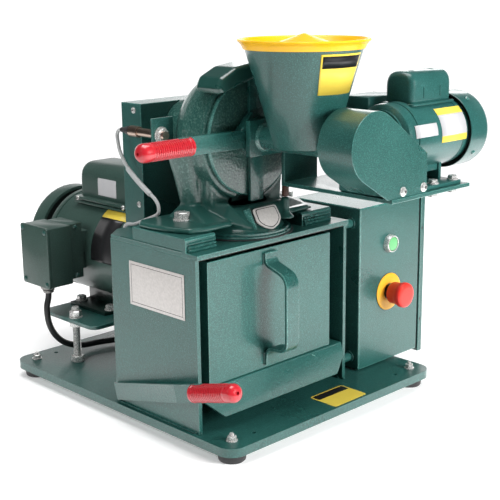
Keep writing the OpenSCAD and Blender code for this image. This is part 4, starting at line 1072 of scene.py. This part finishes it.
def makeCables():
    bm = bmesh.new()
    route = [(*motor["gland"], 117), (40, 470, 106), (36, 470, 90), (38, 470, 66), (46, 470, 46),
             (60, 470, 29), (80, 470, 17), (105, 470, 10), (135, 468, 8), (165, 456, 8), (195, 436, 8),
             (222, 410, 8), (246, 380, 8), (266, 348, 8), (284, 318, 8), (302, 292, 9), (320, 270, 14),
             (331, 250, 26), (334, 230, 42), (334, 213, 54), (337, 203, 58), (341, 200, 58), (345.6, 200, 58)]
    sweep(bm, curved(atEach(route), 5), 5, sides=14)
    disc(bm, at(*route[-1]), -alongX, 9, 6, 1)
    place(asMesh("motorLead", bm), ["black_rubber"], "motor_cable", sharp=60)
    bm = bmesh.new()
    x, z = sensor["axis"]
    # down from the sensor in one plane, then over the base plate behind the housing
    drop = ((281, 394), (288, 392), (292, 386), (291, 376), (286, 360), (270, 339), (250, 324), (228, 311),
            (210, 301), (203, 291), (206, 280), (228, 270), (248, 262), (262, 257), (274, 256), (281, 252),
            (284, 244), (284, 220), (284, 180), (284, 140), (283, 100), (282, 60))
    route = [(x, py, pz) for py, pz in drop] + [
        (60, 280, 30), (70, 277, 16), (90, 273, 10), (130, 270, 9), (170, 270, 9), (210, 270, 9),
                                                (250, 270, 9),
        (285, 268, 9), (308, 264, 12), (322, 254, 24), (326, 240, 44), (328, 224, 70), (332, 210, 92),
        (337, 205, 100), (341, 204, 100), (345.6, 204, 100)]
    run = curved(atEach(route), 5)
    sweep(bm, run, 2.6, sides=12)
    sweep(bm, run[25:38], 3.8, sides=12)
    disc(bm, at(*route[-1]), -alongX, 7, 6, 1)
    place(asMesh("sensorLead", bm), ["grey_plastic"], "sensor_cable", sharp=60)
    bm = bmesh.new()
    line = [(0, 0), (0, 6)] + [(1 + 1.2 * i + d, 5.5 + 0.5 * (d == 0.4)) for i in range(8)
                               for d in (0, 0.4)] + [
        (12, 6), (58, 6), (58, 8), (76, 8), (77, 7), (77, 0)]
    turned(bm, line, at(x, sensor["front"], z), alongY, steps=32)
    for y in (189, 195):
        hexHead(bm, at(x, y, z), alongY, 17, 3, chamfer=0.5)
    boot = [(76, 0), (76, 7.4), (80, 7.2), (92, 4.2), (99, 3.4), (99, 0)]
    turned(bm, boot, at(x, sensor["front"], z), alongY, steps=24, finish=1)
    place(asMesh("interlockSensor", bm), ["brass", "black_rubber"], "interlock_sensor", sharp=35)


makeCables()
print("cables made")


# housing: walls, top plate, welds and gasket
housing = {"left": 8, "front": 71, "high": 245.5, "bead": 2.6}


def makeHousing():
    for wall, bevel in (("left_wall", 0.7), ("right_wall", 0.9), ("back_wall", 0.8)):
        softened(wall, bevel)
    softened("top_plate", bevel=1.3, segments=3)
    softened("gasket", bevel=0.3)
    left, front, high, bead = (housing[key] for key in ("left", "front", "high", "bead"))
    bm = bmesh.new()
    # three passes up the front of each pad, then the seams along the left wall
    for x0, x1 in ((11, 62), (235, 293)):
        for y, z, size in ((87.8, 254.2, 3.0), (89.2, 258.6, 2.8), (90.0, 263.0, 2.4)):
            weldBead(bm, [at(x0, y, z), at(x1, y, z)], size, pitch=4.2)
    weldBead(bm, [at(left + 0.8, 96, high + 6.6), at(left + 0.8, 232, high + 6.6)], 1.7, pitch=3.4)
    weldBead(bm, [at(left - 0.2, front + 4, 0.8), at(left - 0.2, 250, 0.8)], bead, pitch=4.6)
    for x, start, end in ((304, front + 6, 120), (309.5, front + 4, 250)):
        weldBead(bm, [at(x, start, 0.8), at(x, end, 0.8)], bead, pitch=4.6)
    for x in (left + 3, 306):
        weldBead(bm, [at(x - 2, front - 0.4, 1), at(x + 3, front - 0.4, 1)], bead, pitch=3)
    weldBead(bm, [at(left + 2, front - 2, high + 0.6), at(left + 14, front - 2.6, high + 0.6)], 1.5, pitch=3)
    place(asMesh("weldBeads", bm), ["smooth_casting"], body="frame", sharp=80)


def makePlate():
    softened("base_plate", bevel=1.3, segments=3)
    plate = {"in": 27, "wide": 442, "deep": 521}
    spots = [(x, y) for x in (plate["in"], plate["wide"] - plate["in"])
             for y in (plate["in"], plate["deep"] - plate["in"])]
    foot = [(-12.7, 0), (-12.7, 17), (-14.5, 19.6), (-16, 20), (-25, 19), (-27.1, 17), (-27.1, 8), (-24, 6),
            (-24, 0)]
    bm = bmesh.new()
    for x, y in spots:
        turned(bm, foot, at(x, y, 0), alongZ, steps=48)
    place(asMesh("rubberFeet", bm), ["black_rubber"], "rubber_feet", sharp=45)
    thread = [(7.4 + 0.5 * step, 3.15 - 0.35 * (step % 2)) for step in range(7)]
    thread = [(7, 0), (7, 3.1)] + thread + [(11, 2.6), (11.2, 0)]
    bm = bmesh.new()
    for x, y in spots:
        disc(bm, at(x, y, 0.02), alongZ, 8, 1.6, 0.4)
        hexHead(bm, at(x, y, 1.6), alongZ, 11.2, 5.6)
        turned(bm, thread, at(x, y, 0), alongZ, steps=20)
        disc(bm, at(x, y, -23.9), alongZ, 5.5, 4, 0.4)
    place(asMesh("footBolts", bm), ["zinc"], "foot_bolts", sharp=35)


def makeFasteners():
    bm = bmesh.new()
    for x, y in ((60, 156), (268, 156)):
        disc(bm, at(x, y, 279.1), alongZ, 12.5, 2.2, 0.5)
        hexHead(bm, at(x, y, 281.3), alongZ, 19, 9)
        disc(bm, at(x, y, 290.1), alongZ, 7.4, 0.5, 0.2)
    for x in (120, 244):
        for y in (412, 492):
            disc(bm, at(x, y, 81), alongZ, 10, 1.8, 0.4)
            hexHead(bm, at(x, y, 82.8), alongZ, 14, 6.4)
    for y, z in ((278.5, 420), (273, 282)):
        disc(bm, at(78, y, z), -alongX, 4.6, 0.7, 0.2, steps=24)
        panHead(bm, at(77.4, y, z), -alongX, 7.4, 2.4, dark=1)
    # lock washer and nut in front of the sensor's bracket
    x, z = sensor["axis"]
    turned(bm, [(0, 8), (0, 12), (-0.8, 12), (-0.8, 8), (0, 8)], at(x, 192, z), alongY, steps=20)
    hexHead(bm, at(x, 191, z), -alongY, 17.5, 4.4, chamfer=0.6)
    place(asMesh("housingFasteners", bm), ["zinc", "black_paint"], "fasteners", sharp=35)
    bm = bmesh.new()
    x, y = 67, 435
    hexHead(bm, at(x, y, 0), alongZ, 19, 10.5)
    disc(bm, at(x, y, 66.4), alongZ, 11, 2.2, 0.4)
    hexHead(bm, at(x, y, 66.4), -alongZ, 17, 7)
    disc(bm, at(x, y, 75), alongZ, 11, 1.8, 0.4)
    hexHead(bm, at(x, y, 76.8), alongZ, 17, 10)
    rod = [(0, 0), (0, 5.9)] + [(9 + 1.0 * step, 6.25 - 0.5 * (step % 2)) for step in range(84)] + [(93, 5),
                                                                                                    (93, 0)]
    turned(bm, rod, at(x, y, 0), alongZ, steps=24)
    place(asMesh("plateStud", bm), ["zinc"], "plate_stud", sharp=30)
    softened("motor_plate", bevel=1.0)
    softened("belt_guard", bevel=1.0)
    softened("sensor_bracket", bevel=0.5)
    rest = [(0, 0), (0, 4.6), (0.8, 5), (14.6, 5), (15.4, 4.6), (15.4, 0)]
    turnedPiece("shelfRest", rest, at(*chamber["post"], 300.9), alongZ, ["brown_rubber"], "shelf_rest",
                steps=32, sharp=45)


makeHousing()
makePlate()
makeFasteners()
print("housing made")


# drawer-like container, its handle, and the shelf and lever that lift it
container = {"low": (33, 76, 61.3), "high": (279, 244, 237), "wall": 3, "handleAt": 138, "handleWide": 25.4,
             "handleThick": 5}


def makeContainer():
    low, high, wall = at(*container["low"]), at(*container["high"]), container["wall"]
    bm = bmesh.new()
    cube(bm, low, high)
    top = [face for face in bm.faces if face.normal.z > 0.9]
    bmesh.ops.inset_region(bm, faces=top, thickness=wall * mm, use_even_offset=True)
    down = bmesh.ops.extrude_face_region(bm, geom=top)
    bmesh.ops.translate(bm, verts=[part for part in down["geom"] if isinstance(part, bmesh.types.BMVert)],
                        vec=(0, 0, wall * mm - (high - low).z))
    bmesh.ops.delete(bm, geom=top, context="FACES_ONLY")
    place(asMesh("containerShell", bm), ["hammered_green"], "sample_container", bevel=1.1, segments=3)
    x, wide, thick = container["handleAt"], container["handleWide"], container["handleThick"]
    bm = bmesh.new()
    bends = ((73.5, 232), (73.5, 215), (32.5, 201), (32.5, 94), (71.5, 91.5), (73.5, 66))
    band(bm, softLine([at(x, y, z) for y, z in bends], 15 * mm, 6), alongX * wide * mm, thick, 0)
    place(asMesh("containerStrap", bm), ["hammered_green"], "container_handle", bevel=1.5, segments=3,
          sharp=30)
    bm = bmesh.new()
    for side, high, low in ((x - 0.3, 231, 214), (x - 0.3, 86, 67), (x + wide, 86, 67)):
        weldBead(bm, [at(side, 75.4, high), at(side, 75.4, low)], 1.2, pitch=2.4)
    place(asMesh("containerWelds", bm), ["hammered_green"], body="container", sharp=80)


lift = {"front": 73, "top": 61, "lean": 112, "drop": 44, "thick": 4, "left": 16, "right": 302}


def makeLift():
    left, right, top, front = lift["left"], lift["right"], lift["top"], lift["front"]
    thick = lift["thick"]
    down = Vector((0, cos(radians(-lift["lean"])), sin(radians(-lift["lean"]))))
    normal = alongX.cross(down).normalized()
    if normal.y > 0:
        normal.negate()
    bm = bmesh.new()
    block(bm, at(left, front + 1, top - thick), at(right, 250, top), 0.8)
    wide, drop = right - left, lift["drop"]
    lip = [(0, 0), (wide, 0), (wide, 18), (wide - 26, drop), (28, drop), (0, 16)]
    face = [at(left + x, front, top) + down * t * mm for x, t in lip]
    slab(bm, softLine(face, 2.5 * mm, 3, closed=True), -normal * thick * mm, 0.9)
    # round bend between the lip and the shelf
    disc(bm, at(left + 0.5, front + 1.6, top - 2.2), alongX, 2.4, wide - 1, 0.4, steps=24)
    place(asMesh("liftShelf", bm), ["hammered_green"], "lift_shelf", sharp=35)
    # welds at the ends of the shelf's two stiffeners, real beads whose paler green is a painted highlight
    bm = bmesh.new()
    for x in (76, 234):
        weldBead(bm, [at(x, front - 0.4, top - 1.8), at(x + 6, front - 3.2, top - 7)], 1.3, pitch=2.6)
    place(asMesh("liftWelds", bm), ["rim_green"], body="shelf", sharp=80)
    softened("lift_lever", bevel=1.0)
    bm = bmesh.new()
    disc(bm, at(8, *lever["pivot"]), -alongX, 11, 2.2, 0.8)
    disc(bm, at(5.8, *lever["pivot"]), -alongX, 6.5, 1.4, 0.6)
    place(asMesh("leverPivot", bm), ["hammered_green"], body="frame", sharp=35)


makeContainer()
makeLift()
print("container and lift made")


# control box with its buttons
control = {"low": (345.7, 74, 2), "high": (494.7, 214, 262), "button": 417.7, "start": 196, "stop": 117}


def makeControl():
    low, high = control["low"], control["high"]
    bm = bmesh.new()
    block(bm, at(*low), at(*high), 0)
    place(asMesh("controlCase", bm), ["hammered_green"], "control_box", bevel=2.4, segments=4)
    # cover folded round the box's right side, with a black block in the gap as painted shadow, and two holes
    # in its lip painted black as their shade
    bm = bmesh.new()
    block(bm, at(498.0, 73, -4), at(508.2, 215, 262), 0)
    place(asMesh("controlCover", bm), ["hammered_green"], "box_cover", bevel=1.1, segments=3)
    bm = bmesh.new()
    block(bm, at(494.6, 76, 0), at(498.2, 212, 260), 0.3)
    for z in (207, 52):
        disc(bm, at(501.5, 73, z), -alongY, 2.2, 0.25, 0.1, steps=20)
        disc(bm, at(508.2, 90, z), alongX, 2.2, 0.25, 0.1, steps=20)
    place(asMesh("coverGapShadow", bm), ["black_paint"], body="frame")
    bm = bmesh.new()
    for y, z in ((93, 21), (93, 237.5), (190, 21), (190, 237.5)):
        turned(bm, [(0, 0), (0, 7), (35.7, 7), (35.7, 0)], at(310, y, z), alongX, steps=32)
        disc(bm, at(345.6, y, z), -alongX, 9.5, 2.0, 0.6)
        disc(bm, at(310.1, y, z), alongX, 9.5, 2.0, 0.6)
    place(asMesh("boxStandoffs", bm), ["hammered_green"], "box_spacers", sharp=35)
    x, front = control["button"], low[1]
    start, stop = at(x, front, control["start"]), at(x, front, control["stop"])
    bezel = [(0, 0), (0, 14.5), (-1.5, 14.5), (-7.4, 13.6), (-8.6, 13.0), (-9, 12.2), (-8.6, 11.5),
             (-7.6, 11.3), (-5, 11.3), (-5, 0)]
    turnedPiece("startBezel", bezel, start, alongY, ["zinc"], "start_bezel", steps=64)
    button = [(0, 0), (0, 10.8), (-2.4, 10.8), (-3.2, 10.4), (-3.5, 9.4), (-3.3, 0)]
    turnedPiece("startButton", button, at(x, 69, control["start"]), alongY, ["green_plastic"], "start_button")
    ring = [(-0.02, 12), (-0.02, 29.4), (-0.8, 30), (-1.4, 29.8), (-2, 29), (-2, 13), (-0.02, 12)]
    turnedPiece("stopRing", ring, stop, alongY, ["yellow_plastic"], "stop_ring", steps=64)
    bm = bmesh.new()
    turned(bm, [(-8, 0), (-8, 14), (-9.4, 16.6), (-11, 17.4), (-20, 17.2), (-25, 18.6), (-29, 20), (-33, 20),
                (-35.6, 19.2), (-37, 17), (-37.4, 12), (-37.2, 0)], stop, alongY, steps=64)
    turned(bm, [(3, 0), (3, 10.8), (-8.1, 10.8), (-8.1, 0)], stop, alongY, steps=32, finish=1)
    place(asMesh("stopHead", bm), ["red_plastic", "black_paint"], "stop_button", sharp=45)


makeControl()
print("control box made")


# plain plates and blank labels
def makeLabels():
    bm = bmesh.new()
    y0, y1, z0, z1 = 94, 211.5, 157.8, 221.4
    slab(bm, [at(7.75, y0, z0), at(7.75, y1, z0), at(7.75, y1, z1), at(7.75, y0, z1)], -alongX * 0.55 * mm,
         0.2)
    for low, high in (((y0 + 4, z0 + 4), (y1 - 4, z0 + 4.7)), ((y0 + 4, z1 - 4.7), (y1 - 4, z1 - 4)),
                      ((y0 + 4, z0 + 4), (y0 + 4.7, z1 - 4)), ((y1 - 4.7, z0 + 4), (y1 - 4, z1 - 4))):
        block(bm, at(7.12, low[0], low[1]), at(7.25, high[0], high[1]), 0, 1)
    for y in (y0 + 3, y1 - 3):
        for z in (z0 + 3, z1 - 3):
            disc(bm, at(7.2, y, z), -alongX, 1.3, 0.4, 0.2, steps=16)
    place(asMesh("blankNameplate", bm), ["aged_plate", "black_paint"], "nameplates", sharp=40)
    feederSide = (at(0, *feeder["axis"]), alongX, alongY, feeder["radius"], "door")
    mainSide = (at(motor["x"], 0, motor["z"]), alongY, alongX, motor["radius"], "frame")
    for label in (("feederPlate", feederSide, 313, 370.5, 144, 179.5, "label"),
                  ("feederPlateTop", feederSide, 313, 370.5, 131, 144, "yellow_label"),
                  ("feederPlateFoot", feederSide, 313, 370.5, 179.5, 190, "yellow_label"),
                  ("feederTag", feederSide, 255.5, 304, 155.5, 176, "label"),
                  ("motorPlateTop", mainSide, 362, 429, -133.5, -120, "yellow_label"),
                  ("motorPlate", mainSide, 372, 428.5, -184, -133.5, "black_paint")):
        wrapLabel(*label)
    # tag on the main motor's capacitor cover, and the one on the base plate
    bm = bmesh.new()
    def arc(radius, y, turns):
        return [at(166 - radius * cos(radians(turn)), y, 285 + radius * sin(radians(turn))) for turn in turns]

    curve = [at(137.8, 407.5, 263.5), at(137.8, 407.5, 285)] + arc(28.2, 407.5, (10, 20, 30, 40, 50, 58, 64))
    band(bm, curve, alongY * 48 * mm, 0.35, 0)
    band(bm, arc(28.3, 410, (55, 60, 64)), alongY * 43 * mm, 0.4, 0, 1)
    place(asMesh("motorCapTag", bm), ["label", "orange_label"], body="frame", sharp=60)
    bm = bmesh.new()
    face = [at(212, 4.5, 0), at(283, 4.5, 0), at(283, 55, 0), at(212, 55, 0)]
    slab(bm, softLine(face, 5 * mm, 4, closed=True), alongZ * 0.3 * mm, 0)
    face = [at(214.5, 38, 0.2), at(280.5, 38, 0.2), at(280.5, 52.5, 0.2), at(214.5, 52.5, 0.2)]
    slab(bm, softLine(face, 2 * mm, 3, closed=True), alongZ * 0.22 * mm, 0, 1)
    place(asMesh("plateLabel", bm), ["yellow_label", "black_paint"], body="frame", sharp=40)


makeLabels()
print("labels made")


# every node left over keeps its CAD shape, with soft edges
for node in nodes:
    if node not in done:
        softened(node)
